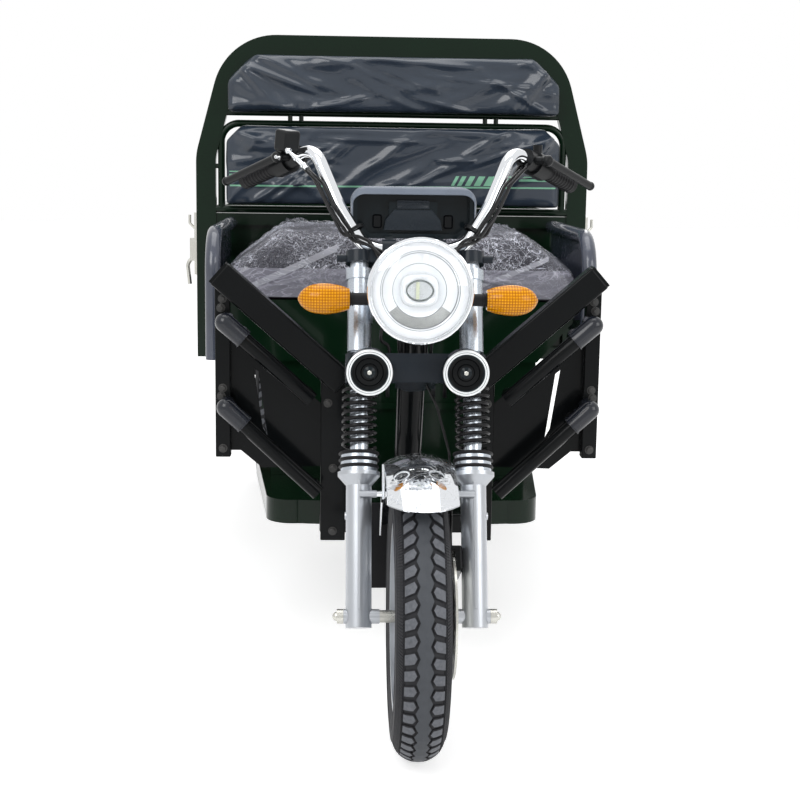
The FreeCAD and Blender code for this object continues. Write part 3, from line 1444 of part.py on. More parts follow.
def cargo_front_wall():
    """The fixed wall between the hoop's legs: a sheet with a top rail and two pressed steps."""
    w = box_half_width - hoop_width - seat_gap
    y1 = box_y - seat_gap
    y0 = y1 - front_wall_depth
    low, high = bed_bottom, wall_top
    pieces = [block(-w, w, y1 - front_wall_sheet, y1, low, high),
              block(-w, w, y0, y1, high - front_wall_rail, high),
              block(-w, w, y0, y1, low, low + front_wall_rail)]
    for share in front_wall_ribs:
        z = floor_height + share * wall_height
        pieces.append(block(-w, w, y0 + front_wall_sheet, y1, z, z + front_wall_rib_height))
    return fused(pieces)


def latch():
    """A toggle latch on a post's outer side, drawn for +X: plate, body, hook and a curved pull handle."""
    x0 = box_half_width + seat_gap
    depth = latch_body_depth
    top = wall_top - latch_body_top_drop
    plate = block(x0, x0 + latch_plate, 0, depth, wall_top - latch_plate_height, wall_top)
    body = block(x0, x0 + latch_body_reach, latch_body_inset, depth - latch_body_inset,
                 top - latch_body_height, top)
    hook = bent_rod([(x0 + latch_plate, depth / 2, wall_top - latch_hook_height),
                     (x0 + latch_body_reach, depth / 2, wall_top - latch_hook_drop),
                     (x0 + latch_body_reach, depth / 2, wall_top - latch_plate)], latch_handle_radius,
                    latch_hook_bend)
    start = top - latch_body_height
    reach = x0 + latch_reach - latch_handle_radius
    handle = bent_rod([(x0 + latch_plate, depth / 2, start + latch_plate * 2),
                       (reach, depth / 2, start - latch_plate),
                       (reach - latch_plate, depth / 2, start - latch_handle_length)],
                       latch_handle_length / 2,
                      latch_handle_radius)
    return fused([plate, body, hook, handle])


def box_latches():
    one = latch()
    pieces = []
    for y in (box_y - (hoop_depth + latch_body_depth) / 2,
              box_end_y - (corner_post_depth + latch_body_depth) / 2):
        here = one.copy()
        here.translate(V(0, y, 0))
        pieces += [here, mirrored(here)]
    return Part.makeCompound(pieces)


def leaf_seat_height():
    return tyre_radius + axle_tube_radius + seat_gap


def leaf_eye_height():
    return leaf_seat_height() + leaf_camber


def leaf_spring():
    """A stack of curved leaves on the axle, the longest with an eye at each end, drawn at mid-width."""
    seat = leaf_seat_height()
    pieces = []
    stack = leaf_count * leaf_thickness
    half = leaf_half_length
    radius = (half ** 2 + leaf_camber ** 2) / (2 * leaf_camber)
    centre_z = seat + stack + radius
    for i in range(leaf_count):
        reach = half - i * leaf_shrink
        r0 = radius + i * leaf_thickness
        r1 = r0 + leaf_thickness
        angle = math.asin(reach / r0)
        corners = []
        for r in (r0, r1):
            ends = [V(0, s * r * math.sin(angle), centre_z - r * math.cos(angle)) for s in (-1, 1)]
            corners.append((ends[0], V(0, 0, centre_z - r), ends[1]))
        (a0, a1, a2), (b0, b1, b2) = corners
        edges = [Part.Arc(a0, a1, a2).toShape(), Part.Arc(b0, b1, b2).toShape(), Part.makeLine(a0, b0),
                 Part.makeLine(a2, b2)]
        face = Part.Face(Part.Wire(Part.__sortEdges__(edges)))
        pieces.append(face.extrude(V(leaf_width, 0, 0)))
    for s in (-1, 1):
        y, z = s * half, leaf_eye_height() + stack
        pieces.append(rod((0, y, z), (leaf_width, y, z), leaf_eye_radius))
    clamp = block(0, leaf_width, -hanger_depth / 2, hanger_depth / 2, seat, seat + stack + leaf_thickness)
    return fused([*pieces, clamp])


def leaf_springs():
    one = leaf_spring()
    both = []
    for s in (1, -1):
        here = one.copy()
        here.translate(V(s * leaf_across - leaf_width / 2, rear_y, 0))
        both.append(here)
    return Part.makeCompound(both)


def rear_axle():
    """The axle tube with its differential bulge, brake backing plates and stub shafts."""
    y, z = rear_y, tyre_radius
    drum_start = rear_wheel_x - rim_half_width + wheel_disc_thickness - rear_drum_length / 2
    plate = drum_start - axle_housing_end_gap
    tube = rod((-plate, y, z), (plate, y, z), axle_tube_radius)
    ball = revolved([(-axle_ball_half_length, 0), (-axle_ball_half_length, axle_tube_radius),
                     (-axle_ball_half_length / 2, axle_ball_radius),
                     (axle_ball_half_length / 2, axle_ball_radius),
                     (axle_ball_half_length, axle_tube_radius), (axle_ball_half_length, 0)], (0, y, z))
    pieces = [tube, ball]
    for s in (1, -1):
        pieces.append(rod((s * plate, y, z), (s * (plate + backing_plate_thickness), y, z),
                          backing_plate_radius))
        pieces.append(rod((s * plate, y, z), (s * (rear_wheel_x + rim_half_width - seat_gap), y, z),
                          rear_shaft_radius))
    return fused(pieces)


def drive_motor():
    """The motor, one plain drum in front of the differential."""
    y, z = rear_y - axle_ball_radius - motor_radius - seat_gap, tyre_radius
    body = rod((-motor_length / 2, y, z), (motor_length / 2, y, z), motor_radius)
    neck = block(-axle_ball_half_length / 2, axle_ball_half_length / 2, y, y + motor_radius + seat_gap / 2,
                 z - axle_tube_radius, z + axle_tube_radius)
    return fused([body, neck])


def tail_lamps():
    """Two lamp boxes under the box's rear edge."""
    top = bed_bottom - seat_gap
    y1 = box_end_y - chassis_rail_rear_inset / 4
    lamps = []
    for s in (1, -1):
        x = s * lamp_box_across
        half = lamp_box_width / 2
        lamps.append(fused([block(x - half, x + half, y1 - lamp_box_depth, y1 - lamp_box_lens,
                                  top - lamp_box_height,
                                  top, tube_fillet / 2),
                            block(x - half + lamp_box_lens, x + half - lamp_box_lens,
                                  y1 - lamp_box_lens * 2, y1,
                                  top - lamp_box_height + lamp_box_lens, top - lamp_box_lens)]))
    return Part.makeCompound(lamps)


def mud_flaps():
    """Rubber flaps that hang from the bed frame behind the rear wheels."""
    y = rear_y + rear_flap_back
    top = bed_bottom - seat_gap
    flaps = []
    for s in (1, -1):
        x = s * (box_half_width - rear_flap_width / 2)
        half = rear_flap_width / 2
        flaps.append(block(x - half, x + half, y, y + rear_flap_thickness, top - rear_flap_height, top))
    return Part.makeCompound(flaps)


def pair(make):
    return Part.makeCompound([make(1), make(-1)])


def build():
    lamp_shell, lamp_lens = headlamp()
    right_gate, left_gate, tail_gate = gates()
    nodes = {
        "main_frame": main_frame(),
        "rear_frame": rear_frame(),
        "footboard": footboard(),
        "brake_pedal": brake_pedal(),
        "leg_guard": leg_guard(),
        "guard_tubes": build_guard_tubes(),
        "seat_base": seat_base(),
        "battery_pack": battery_pack(),
        "seat_cushion": seat_cushion(),
        "armrests": pair(armrest),
        "backrest_hoop": backrest_hoop(),
        "backrest_pads": backrest_pads(),
        "cargo_bed": cargo_bed(),
        "cargo_front_wall": cargo_front_wall(),
        "side_gate_right": right_gate,
        "side_gate_left": left_gate,
        "tailgate": tail_gate,
        "box_latches": box_latches(),
        "leaf_springs": leaf_springs(),
        "rear_axle": rear_axle(),
        "drive_motor": drive_motor(),
        "tail_lamps": tail_lamps(),
        "mud_flaps": mud_flaps(),
        "fork_legs": tilted(pair(fork_leg)),
        "fork_tubes": tilted(pair(fork_tube)),
        "fork_springs": tilted(pair(fork_spring)),
        "fork_covers": tilted(pair(fork_cover)),
        "fork_bridges": fork_bridges(),
        "handlebar": handlebar(),
        "grips": pair(grip),
        "hand_controls": pair(hand_control),
        "instrument_hood": instrument_hood(),
        "headlamp_shell": lamp_shell,
        "headlamp_lens": lamp_lens,
        "signal_lenses": pair(signal_lens),
        "signal_stalks": pair(signal_stalk),
        "horns": pair(horn),
        "front_fender": build_fender(),
        "front_mud_flap": front_mud_flap(),
        "front_axle": front_axle(),
        "brake_caliper": caliper_body(),
        "control_cables": control_cables(),
    }
    nodes.update(front_wheel())
    for side, name in ((1, "right"), (-1, "left")):
        nodes[f"rear_tyre_{name}"], nodes[f"rear_rim_{name}"] = rear_wheel(side)
    return nodes


os.makedirs("parts", exist_ok=True)
for name, shape in build().items():
    if not shape.isValid() or any(s.Volume <= 0 for s in shape.Solids) or not shape.Solids:
        print("check", name, shape.isValid(), [round(s.Volume) for s in shape.Solids])
    shape.exportStep(f"parts/{name}.step")
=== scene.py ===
import bpy
import json
import math
import random
from contextlib import contextmanager
from mathutils import Matrix, Vector


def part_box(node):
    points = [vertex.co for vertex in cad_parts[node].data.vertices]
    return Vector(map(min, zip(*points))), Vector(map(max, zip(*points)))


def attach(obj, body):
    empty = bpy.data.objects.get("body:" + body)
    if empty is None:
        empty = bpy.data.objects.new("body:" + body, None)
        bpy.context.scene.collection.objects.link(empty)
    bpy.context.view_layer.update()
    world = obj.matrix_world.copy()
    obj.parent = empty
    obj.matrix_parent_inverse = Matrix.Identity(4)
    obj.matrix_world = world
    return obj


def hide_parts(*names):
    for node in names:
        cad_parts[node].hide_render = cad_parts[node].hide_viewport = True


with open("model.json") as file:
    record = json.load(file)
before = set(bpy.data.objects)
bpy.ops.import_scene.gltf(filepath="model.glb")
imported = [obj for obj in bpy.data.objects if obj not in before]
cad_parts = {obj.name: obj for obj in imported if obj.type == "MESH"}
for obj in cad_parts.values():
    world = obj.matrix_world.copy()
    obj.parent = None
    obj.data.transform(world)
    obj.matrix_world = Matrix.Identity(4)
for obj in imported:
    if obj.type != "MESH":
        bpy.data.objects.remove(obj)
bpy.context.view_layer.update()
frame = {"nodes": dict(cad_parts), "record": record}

xWay, yWay, zWay = Vector((1, 0, 0)), Vector((0, 1, 0)), Vector((0, 0, 1))
ahead = -yWay  # the vehicle looks along -Y
fullTurn = 2 * math.pi
looks = {}  # each finish by its name


# selection, edit mode and modifiers
def deselectAll():
    bpy.ops.object.select_all(action="DESELECT")


def makeActive(piece):
    deselectAll()
    piece.select_set(True)
    bpy.context.view_layer.objects.active = piece


@contextmanager
def editing(piece, test=None, by="FACE"):
    # edit mode with all of the piece selected, or only the faces that pass the test
    makeActive(piece)
    if test:
        for part in (piece.data.vertices, piece.data.edges, piece.data.polygons):
            part.foreach_set("select", [False] * len(part))
        for face in piece.data.polygons:
            face.select = bool(test(face))
    bpy.ops.object.mode_set(mode="EDIT")
    bpy.context.tool_settings.mesh_select_mode = [by == kind for kind in ("VERT", "EDGE", "FACE")]
    if not test:
        bpy.ops.mesh.select_all(action="SELECT")
    yield
    bpy.ops.object.mode_set(mode="OBJECT")


def newPiece(name, add, **settings):
    # a primitive at the origin, unless its place is given
    deselectAll()
    add(**{"location": (0, 0, 0), **settings})
    piece = bpy.context.object
    piece.name = name
    return piece


def bakePlace(piece):
    # the place goes into the mesh, so the object itself sits at the origin
    makeActive(piece)
    bpy.ops.object.transform_apply(location=True, rotation=True, scale=True)


def modify(piece, kind, **settings):
    # a modifier with its settings, applied at once
    modifier = piece.modifiers.new(kind.lower(), kind)
    for key, value in settings.items():
        setattr(modifier, key, value)
    makeActive(piece)
    bpy.ops.object.modifier_apply(modifier=modifier.name)
    return piece


def bevel(piece, width, segments=1):
    return modify(piece, "BEVEL", width=width, segments=segments, limit_method="ANGLE",
                  angle_limit=math.radians(40))


def smooth(piece, degrees=35):
    makeActive(piece)
    bpy.ops.object.shade_smooth_by_angle(angle=math.radians(degrees))
    return piece


def tidyMesh(piece, gap=0.00001):
    with editing(piece):
        bpy.ops.mesh.remove_doubles(threshold=gap)
        bpy.ops.mesh.normals_make_consistent(inside=False)
    return piece


def raiseSheet(piece, way):
    # a flat face gets a thickness
    with editing(piece):
        bpy.ops.mesh.extrude_region_move(TRANSFORM_OT_translate={"value": way})
        bpy.ops.mesh.select_all(action="SELECT")
        bpy.ops.mesh.normals_make_consistent(inside=False)
    return piece


def insetTop(piece, thickness, depth):
    # the face that looks up gets a border and a step
    with editing(piece, lambda face: face.normal.z > 0.9):
        bpy.ops.mesh.inset(thickness=thickness, depth=depth)
    return piece


def join(pieces, name):
    deselectAll()
    for piece in pieces:
        piece.select_set(True)
    bpy.context.view_layer.objects.active = pieces[0]
    bpy.ops.object.join()
    joined = bpy.context.object
    joined.name = joined.data.name = name
    return joined


def copyOf(piece, name, matrix):
    twin = piece.copy()
    twin.data = piece.data.copy()
    twin.data.transform(matrix)
    twin.name = name
    bpy.context.collection.objects.link(twin)
    return twin


def dropPiece(piece):
    mesh = piece.data
    bpy.data.objects.remove(piece)
    bpy.data.meshes.remove(mesh)


def moveTo(piece, matrix):
    piece.data.transform(matrix)
    piece.data.update()
    return piece


def aimed(place, way):
    # a matrix that carries a piece drawn up +Z at the origin to a place, pointing along a way
    return Matrix.Translation(place) @ Vector(way).to_track_quat("Z", "Y").to_matrix().to_4x4()


def dress(piece, body, slot, *names):
    # a finished piece gets its finish and the body that it moves with; its slot is not used
    for name in names:
        piece.data.materials.append(looks[name])
    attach(piece, body)
    return piece


def boxOf(node):
    return [Vector(corner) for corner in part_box(node)]


# shapes that several pieces start from
def outline(name, points, fill="NGON"):
    # a circle whose points take the places given
    piece = newPiece(name, bpy.ops.mesh.primitive_circle_add, vertices=len(points), fill_type=fill)
    for vertex, point in zip(piece.data.vertices, points):
        vertex.co = point
    return piece


def spun(name, line, axis, steps):
    # a closed line of (radius, place along the axis), turned once round X, Y or Z
    places = {"X": lambda r, a: (a, 0, r), "Y": lambda r, a: (r, a, 0), "Z": lambda r, a: (r, 0, a)}
    piece = outline(name, [places[axis](radius, along) for radius, along in line], "NOTHING")
    way = {"X": xWay, "Y": yWay, "Z": zWay}[axis]
    with editing(piece):
        bpy.ops.mesh.spin(steps=steps, angle=fullTurn, center=(0, 0, 0), axis=way)
    return tidyMesh(piece)


def placedGrid(name, cuts, spot):
    # a grid whose points take the places that a function gives for shares from 0 to 1
    piece = newPiece(name, bpy.ops.mesh.primitive_grid_add, x_subdivisions=cuts[0], y_subdivisions=cuts[1],
                     size=1)
    for vertex in piece.data.vertices:
        vertex.co = spot(vertex.co.x + 0.5, vertex.co.y + 0.5)
    return piece


def roundedPlate(name, halfWidth, halfHeight, corner):
    # a flat rounded rectangle in the XY plane
    line = []
    for sx, sy, start in ((1, 1, 0), (-1, 1, 90), (-1, -1, 180), (1, -1, 270)):
        for turn in (0, 30, 60, 90):
            a = math.radians(start + turn)
            line.append((sx * (halfWidth - corner) + corner * math.cos(a),
                         sy * (halfHeight - corner) + corner * math.sin(a), 0))
    return outline(name, line)


def straightBar(name, start, end, radius, sides):
    # a round bar between two places, its ends softened
    length = (end - start).length
    piece = newPiece(name, bpy.ops.mesh.primitive_cylinder_add, vertices=sides, radius=radius, depth=length,
                     location=(0, 0, length / 2))
    bakePlace(piece)
    return moveTo(bevel(piece, radius * 0.12, 2), aimed(start, end - start))


def boltHead(name, radius, height, washer):
    # a chamfered hexagon head on a washer, drawn up +Z with the washer's face at 0
    thick = 0.0012
    parts = []
    for sides, reach, tall, foot, edge, step in ((6, radius, height, thick, radius * 0.16, radius * 0.10),
                                                 (20, washer, thick, 0, washer * 0.08, 0.0002)):
        part = newPiece(name, bpy.ops.mesh.primitive_cylinder_add, vertices=sides, radius=reach, depth=tall,
                        location=(0, 0, foot + tall / 2))
        bakePlace(insetTop(part, edge, step))
        parts.append(part)
    return join(parts, name)


def arcPoints(a, b, c, count):
    # points on the circle through three places, from the first to the last
    (ax, ay), (bx, by), (cx, cy) = a, b, c
    d = 2 * (ax * (by - cy) + bx * (cy - ay) + cx * (ay - by))
    aa, bb, cc = ax * ax + ay * ay, bx * bx + by * by, cx * cx + cy * cy
    ux = (aa * (by - cy) + bb * (cy - ay) + cc * (ay - by)) / d
    uy = (aa * (cx - bx) + bb * (ax - cx) + cc * (bx - ax)) / d
    radius = math.hypot(ax - ux, ay - uy)
    start, end = math.atan2(ay - uy, ax - ux), math.atan2(cy - uy, cx - ux)
    while end - start > math.pi:
        end -= fullTurn
    while start - end > math.pi:
        end += fullTurn
    turns = [start + (end - start) * i / count for i in range(count + 1)]
    return [(ux + radius * math.cos(turn), uy + radius * math.sin(turn)) for turn in turns]


# finishes: helpers for nodes, the shared groups, then the materials
def feed(tree, node, inputs):
    # each input takes a value or the output that feeds it, and a node stands for its first output
    for key, value in inputs.items():
        if isinstance(value, bpy.types.Node):
            value = value.outputs[0]
        if isinstance(value, bpy.types.NodeSocket):
            tree.links.new(value, node.inputs[key])
        else:
            node.inputs[key].default_value = value
    return node


def addNode(tree, kind, inputs, **settings):
    node = tree.nodes.new(kind if kind == "NodeGroupOutput" else "ShaderNode" + kind)
    for key, value in settings.items():
        setattr(node, key, value)
    return feed(tree, node, inputs)


def calc(tree, operation, *values):
    return addNode(tree, "Math", dict(enumerate(values)), operation=operation)


def blend(tree, factor, first, second):
    # two colours mixed
    mix = addNode(tree, "Mix", {"Factor": factor, "A": first, "B": second}, data_type="RGBA")
    return mix.outputs["Result"]


def newGroup(name, inputs, outputs):
    # float inputs with their values, after one or more vectors, and float outputs
    group = bpy.data.node_groups.new(name, "ShaderNodeTree")
    for socketName, value in inputs.items():
        kind = "NodeSocketVector" if value is None else "NodeSocketFloat"
        socket = group.interface.new_socket(name=socketName, in_out="INPUT", socket_type=kind)
        if value is not None:
            socket.default_value = value
    for socketName in outputs:
        group.interface.new_socket(name=socketName, in_out="OUTPUT", socket_type="NodeSocketFloat")
    return group, group.nodes.new("NodeGroupInput").outputs


def buildGrainGroup():
    # fine and coarse noise: a value round a half, for roughness, tint and relief
    group, start = newGroup("grain", {"Vector": None, "Fine": 400.0, "Coarse": 12.0, "Mix": 0.5},
                            ("Value", "Cloud"))
    fine = addNode(group, "TexNoise", {"Vector": start["Vector"], "Scale": start["Fine"], "Detail": 3.0})
    coarse = addNode(group, "TexNoise", {"Vector": start["Vector"], "Scale": start["Coarse"], "Detail": 5.0})
    mix = addNode(group, "Mix", {"Factor": start["Mix"], "A": coarse, "B": fine}, data_type="FLOAT")
    addNode(group, "NodeGroupOutput", {"Value": mix, "Cloud": coarse})
    return group


def buildDustGroup():
    # dust that settles on upward faces and low on the vehicle
    group, start = newGroup("dust", {"Vector": None, "Normal": None, "Reach": 0.35, "Amount": 0.4}, ("Mask",))
    split = addNode(group, "SeparateXYZ", {0: start["Vector"]})
    face = addNode(group, "SeparateXYZ", {0: start["Normal"]})
    low = addNode(group, "MapRange", {"Value": split.outputs["Z"], "From Min": 0.0,
                                      "From Max": start["Reach"], "To Min": 1.0, "To Max": 0.0})
    high = addNode(group, "MapRange", {"Value": face.outputs["Z"], "From Min": 0.2, "To Max": 0.6})
    speck = addNode(group, "TexNoise", {"Vector": start["Vector"], "Scale": 60.0, "Detail": 6.0})
    settled = calc(group, "MULTIPLY", calc(group, "MAXIMUM", low, high), speck)
    addNode(group, "NodeGroupOutput", {"Mask": calc(group, "MULTIPLY", settled, start["Amount"])})
    return group


def buildCreaseGlintGroup():
    # painted glints along the creases of wrinkled film: bright where a warped noise passes its middle value
    group, start = newGroup("creaseGlints", {"Vector": None, "Scale": 40.0, "Width": 0.05}, ("Value",))
    glintLines = []
    for share in (1.0, 2.3):
        noise = addNode(group, "TexNoise", {"Vector": start["Vector"], "Detail": 2.0, "Distortion": 0.7,
                                            "Scale": calc(group, "MULTIPLY", start["Scale"], share)})
        away = calc(group, "ABSOLUTE", calc(group, "SUBTRACT", noise, 0.5))
        glintLines.append(addNode(group, "MapRange", {"Value": away, "From Min": 0.0, "From Max": start["Width"],
                                                   "To Min": 1.0, "To Max": 0.0},
                               interpolation_type="SMOOTHSTEP"))
    cloud = addNode(group, "TexNoise", {"Vector": start["Vector"], "Scale": 11.0})
    patch = addNode(group, "MapRange", {"Value": cloud, "From Min": 0.40, "From Max": 0.60, "To Min": 0.15})
    both = calc(group, "MULTIPLY", calc(group, "MAXIMUM", *glintLines), patch)
    addNode(group, "NodeGroupOutput", {"Value": both})
    return group


grainGroup = buildGrainGroup()
dustGroup = buildDustGroup()
creaseGlintGroup = buildCreaseGlintGroup()


def newLook(name):
    look = looks[name] = bpy.data.materials.new(name)
    look.use_nodes = True
    tree = look.node_tree
    return tree, tree.nodes["Principled BSDF"], addNode(tree, "TexCoord", {}).outputs["Object"]


def filmWithCreaseGlints(name, colour, base, layers):
    # clear film that shows mostly at its creases, where its pale colour is painted glints
    # a layer of crease glints is (scale, width, stretch, turn in degrees, strength)
    tree, body, place = newLook(name)
    total = None
    for scale, width, stretch, turn, strength in layers:
        angles = [math.radians(angle) for angle in turn]
        turned = addNode(tree, "Mapping", {"Vector": place, "Rotation": angles, "Scale": stretch},
                         vector_type="TEXTURE")
        glint = addNode(tree, "Group", {"Vector": turned, "Scale": scale, "Width": width},
                         node_tree=creaseGlintGroup)
        weight = calc(tree, "MULTIPLY", glint, strength)
        total = weight if total is None else calc(tree, "MAXIMUM", total, weight)
    bump = addNode(tree, "Bump", {"Height": total, "Strength": 0.4, "Distance": 0.002})
    feed(tree, body, {"Base Color": (*colour, 1), "Alpha": calc(tree, "ADD", total, base), "Roughness": 0.12,
                      "Coat Weight": 0.4, "Normal": bump})


def prismLens(name, colour, dark, bright, cell):
    # a clear coloured cover with rows of small prisms moulded behind it, painted with their shade and glints
    tree, body, place = newLook(name)
    split = addNode(tree, "SeparateXYZ", {0: place})
    waves = [calc(tree, "PINGPONG", calc(tree, "MULTIPLY", split.outputs[axis], 1 / cell), 0.5)
             for axis in "XZ"]
    product = calc(tree, "MULTIPLY", *waves)
    # each prism dark at its edges and bright at its middle: painted shade and painted glints
    ramp = addNode(tree, "ValToRGB", {0: product})
    stops = ramp.color_ramp.elements
    stops[0].position, stops[0].color = 0.015, (*dark, 1)
    stops[1].position, stops[1].color = 0.22, (*bright, 1)
    stops.new(0.08).color = (*colour, 1)
    cloud = addNode(tree, "Group", {"Vector": place, "Coarse": 90.0}, node_tree=grainGroup).outputs["Cloud"]
    bump = addNode(tree, "Bump", {"Height": product, "Strength": 0.5, "Distance": 0.001})
    tint = blend(tree, cloud, ramp, (*[part * 0.8 for part in colour], 1))
    feed(tree, body, {"Base Color": tint, "Normal": bump, "Roughness": 0.16, "Coat Weight": 0.12,
                      "Specular IOR Level": 0.14})


shaderInputs = {"metal": "Metallic", "coat": "Coat Weight", "coatRough": "Coat Roughness", "alpha": "Alpha",
                "clear": "Transmission Weight", "index": "IOR", "shine": "Specular IOR Level"}


def finishOf(name, colour, second, rough=(0.2, 0.35), fine=400.0, coarse=12.0, relief=0.1, depth=0.0004,
             dust=0.0, reach=0.35, stretch=(1, 1, 1), **shader):
    # paint, metal, plastic or rubber: two tints, roughness and relief from noise, and dust over them
    dustColour, dustRough = (0.30, 0.28, 0.25, 1), 0.85
    tree, body, place = newLook(name)
    mapping = addNode(tree, "Mapping", {"Vector": place, "Scale": stretch})
    grain = addNode(tree, "Group", {"Vector": mapping, "Fine": fine, "Coarse": coarse}, node_tree=grainGroup)
    tint = blend(tree, grain.outputs["Cloud"], (*colour, 1), (*second, 1))
    dull = addNode(tree, "MapRange", {"Value": grain, "From Min": 0.3, "From Max": 0.7, "To Min": rough[0],
                                      "To Max": rough[1]})
    bump = addNode(tree, "Bump", {"Height": grain, "Strength": relief, "Distance": depth})
    if dust:
        normal = addNode(tree, "NewGeometry", {}).outputs["Normal"]
        mask = addNode(tree, "Group", {"Vector": place, "Normal": normal, "Reach": reach, "Amount": dust},
                       node_tree=dustGroup)
        tint = blend(tree, mask, tint, dustColour)
        dull = addNode(tree, "Mix", {"Factor": mask, "A": dull, "B": dustRough}, data_type="FLOAT")
    feed(tree, body, {"Base Color": tint, "Roughness": dull, "Normal": bump})
    feed(tree, body, {shaderInputs[key]: value for key, value in shader.items()})


# paint and metal
finishOf("greenPaint", (0.0035, 0.017, 0.007), (0.002, 0.010, 0.004), rough=(0.10, 0.22), fine=900.0,
         coarse=5.0, relief=0.03, coat=0.10, coatRough=0.04, shine=0.14, dust=0.02, reach=0.5)
finishOf("blackPaint", (0.0032, 0.0040, 0.0044), (0.0060, 0.0068, 0.0076), rough=(0.12, 0.24), fine=700.0,
         coarse=7.0, relief=0.04, coat=0.04, coatRough=0.05, shine=0.09, dust=0.02, reach=0.45)
finishOf("bridgePaint", (0.016, 0.021, 0.028), (0.024, 0.030, 0.038), rough=(0.16, 0.3), fine=700.0,
         coarse=9.0, relief=0.04, shine=0.16)
finishOf("brightChrome", (0.80, 0.82, 0.84), (0.74, 0.76, 0.79), rough=(0.02, 0.07), fine=160.0, coarse=9.0,
         relief=0.008, metal=1.0)
# white with little metal: the plating's white is a painted reflection of the bright room
finishOf("mirrorPlate", (0.97, 0.99, 1.0), (0.92, 0.95, 0.96), rough=(0.10, 0.2), fine=120.0, coarse=18.0,
         relief=0.01, metal=0.2)
finishOf("castAlloy", (0.50, 0.52, 0.55), (0.43, 0.45, 0.48), rough=(0.26, 0.42), fine=1100.0, coarse=14.0,
         metal=0.7, dust=0.05, reach=0.3)
finishOf("satinTube", (0.52, 0.56, 0.61), (0.44, 0.48, 0.53), rough=(0.20, 0.32), fine=900.0, coarse=10.0,
         relief=0.03, metal=0.75)
finishOf("boltSteel", (0.030, 0.031, 0.033), (0.070, 0.068, 0.064), rough=(0.3, 0.5), fine=600.0, coarse=60.0,
         metal=0.6)
finishOf("zincSteel", (0.60, 0.60, 0.57), (0.50, 0.49, 0.44), rough=(0.18, 0.36), fine=600.0, coarse=30.0,
         metal=1.0, dust=0.05)
finishOf("springSteel", (0.004, 0.004, 0.005), (0.008, 0.008, 0.009), rough=(0.16, 0.3), fine=500.0,
         relief=0.08, coat=0.04, shine=0.16, dust=0.03)
finishOf("motorGrey", (0.10, 0.10, 0.11), (0.14, 0.14, 0.15), rough=(0.4, 0.6), fine=700.0, relief=0.2,
         metal=0.4, dust=0.15)
finishOf("stripeGreen", (0.16, 0.40, 0.26), (0.22, 0.48, 0.33), rough=(0.3, 0.5))
# rubber and plastic
finishOf("cableSheath", (0.003, 0.003, 0.004), (0.006, 0.006, 0.007), rough=(0.10, 0.2), fine=900.0,
         relief=0.05, shine=0.22)
finishOf("bootRubber", (0.006, 0.008, 0.013), (0.014, 0.017, 0.026), rough=(0.16, 0.3), fine=700.0, coat=0.3,
         coatRough=0.15, shine=0.30)
finishOf("tyreRubber", (0.016, 0.017, 0.021), (0.030, 0.031, 0.036), rough=(0.55, 0.8), fine=1400.0,
         coarse=20.0, relief=0.25, shine=0.25, dust=0.08, reach=0.6)
# lug and band tops: lighter copies of the tyre rubber, as painted light on the faces that look out
finishOf("treadTopLitRubber", (0.060, 0.065, 0.074), (0.200, 0.210, 0.235), rough=(0.45, 0.7), fine=700.0,
         coarse=160.0, relief=0.5, shine=0.3)
finishOf("bandTopLitRubber", (0.048, 0.053, 0.061), (0.085, 0.092, 0.104), rough=(0.5, 0.75), fine=900.0,
         coarse=60.0, relief=0.4, shine=0.3)
# black rubber; the same finish fills the dust caps' grooves as painted shade
finishOf("blackRubberAndGrooveShade", (0.006, 0.006, 0.007), (0.012, 0.012, 0.014), rough=(0.40, 0.6), fine=800.0,
         relief=0.2, shine=0.18, dust=0.04)
finishOf("blackPlastic", (0.005, 0.006, 0.007), (0.010, 0.011, 0.012), rough=(0.24, 0.42), fine=1600.0,
         relief=0.25, shine=0.18)
finishOf("glossPlastic", (0.006, 0.011, 0.014), (0.010, 0.016, 0.020), rough=(0.10, 0.22), fine=500.0,
         relief=0.03, coat=0.06, shine=0.14)
finishOf("panelPlastic", (0.014, 0.020, 0.027), (0.020, 0.027, 0.036), rough=(0.2, 0.34), fine=700.0,
         relief=0.05, shine=0.2)
# the visor's pale tint is a painted highlight along the hood's top rim
finishOf("visorPaintedHighlight", (0.12, 0.145, 0.19), (0.17, 0.20, 0.25), rough=(0.2, 0.36), fine=900.0, relief=0.08,
         shine=0.5)
finishOf("darkScreen", (0.003, 0.004, 0.005), (0.005, 0.006, 0.008), rough=(0.06, 0.12), fine=300.0,
         relief=0.01, coat=0.05, shine=0.14)
# lamps
# dark rings for the reflector's grooves: painted shade
finishOf("lampGrooveShade", (0.16, 0.18, 0.19), (0.24, 0.26, 0.27), rough=(0.3, 0.5), metal=0.5)
finishOf("lampEye", (0.34, 0.38, 0.37), (0.26, 0.30, 0.30), rough=(0.02, 0.06), relief=0.0, coat=0.3,
         alpha=0.16)
finishOf("lampFacet", (0.24, 0.25, 0.24), (0.46, 0.47, 0.45), rough=(0.35, 0.55), fine=900.0, coarse=90.0,
         relief=0.4, metal=0.6)
finishOf("darkChamber", (0.10, 0.12, 0.12), (0.20, 0.23, 0.22), rough=(0.2, 0.4), coarse=70.0, metal=0.5)
finishOf("chipPlate", (0.80, 0.84, 0.62), (0.70, 0.74, 0.50), rough=(0.3, 0.5))
finishOf("lensGlass", (0.97, 0.98, 1.0), (0.99, 0.99, 1.0), rough=(0.0, 0.02), relief=0.0, clear=1.0,
         index=1.12, coat=0.6)
finishOf("clearLens", (0.95, 0.97, 1.0), (0.95, 0.97, 1.0), rough=(0.02, 0.05), relief=0.02, clear=1.0)
finishOf("redLens", (0.45, 0.012, 0.010), (0.35, 0.008, 0.008), rough=(0.08, 0.2), fine=300.0, coat=0.6)
prismLens("amberLens", (0.88, 0.33, 0.002), (0.30, 0.065, 0.0), (1.0, 0.66, 0.020), 0.0050)
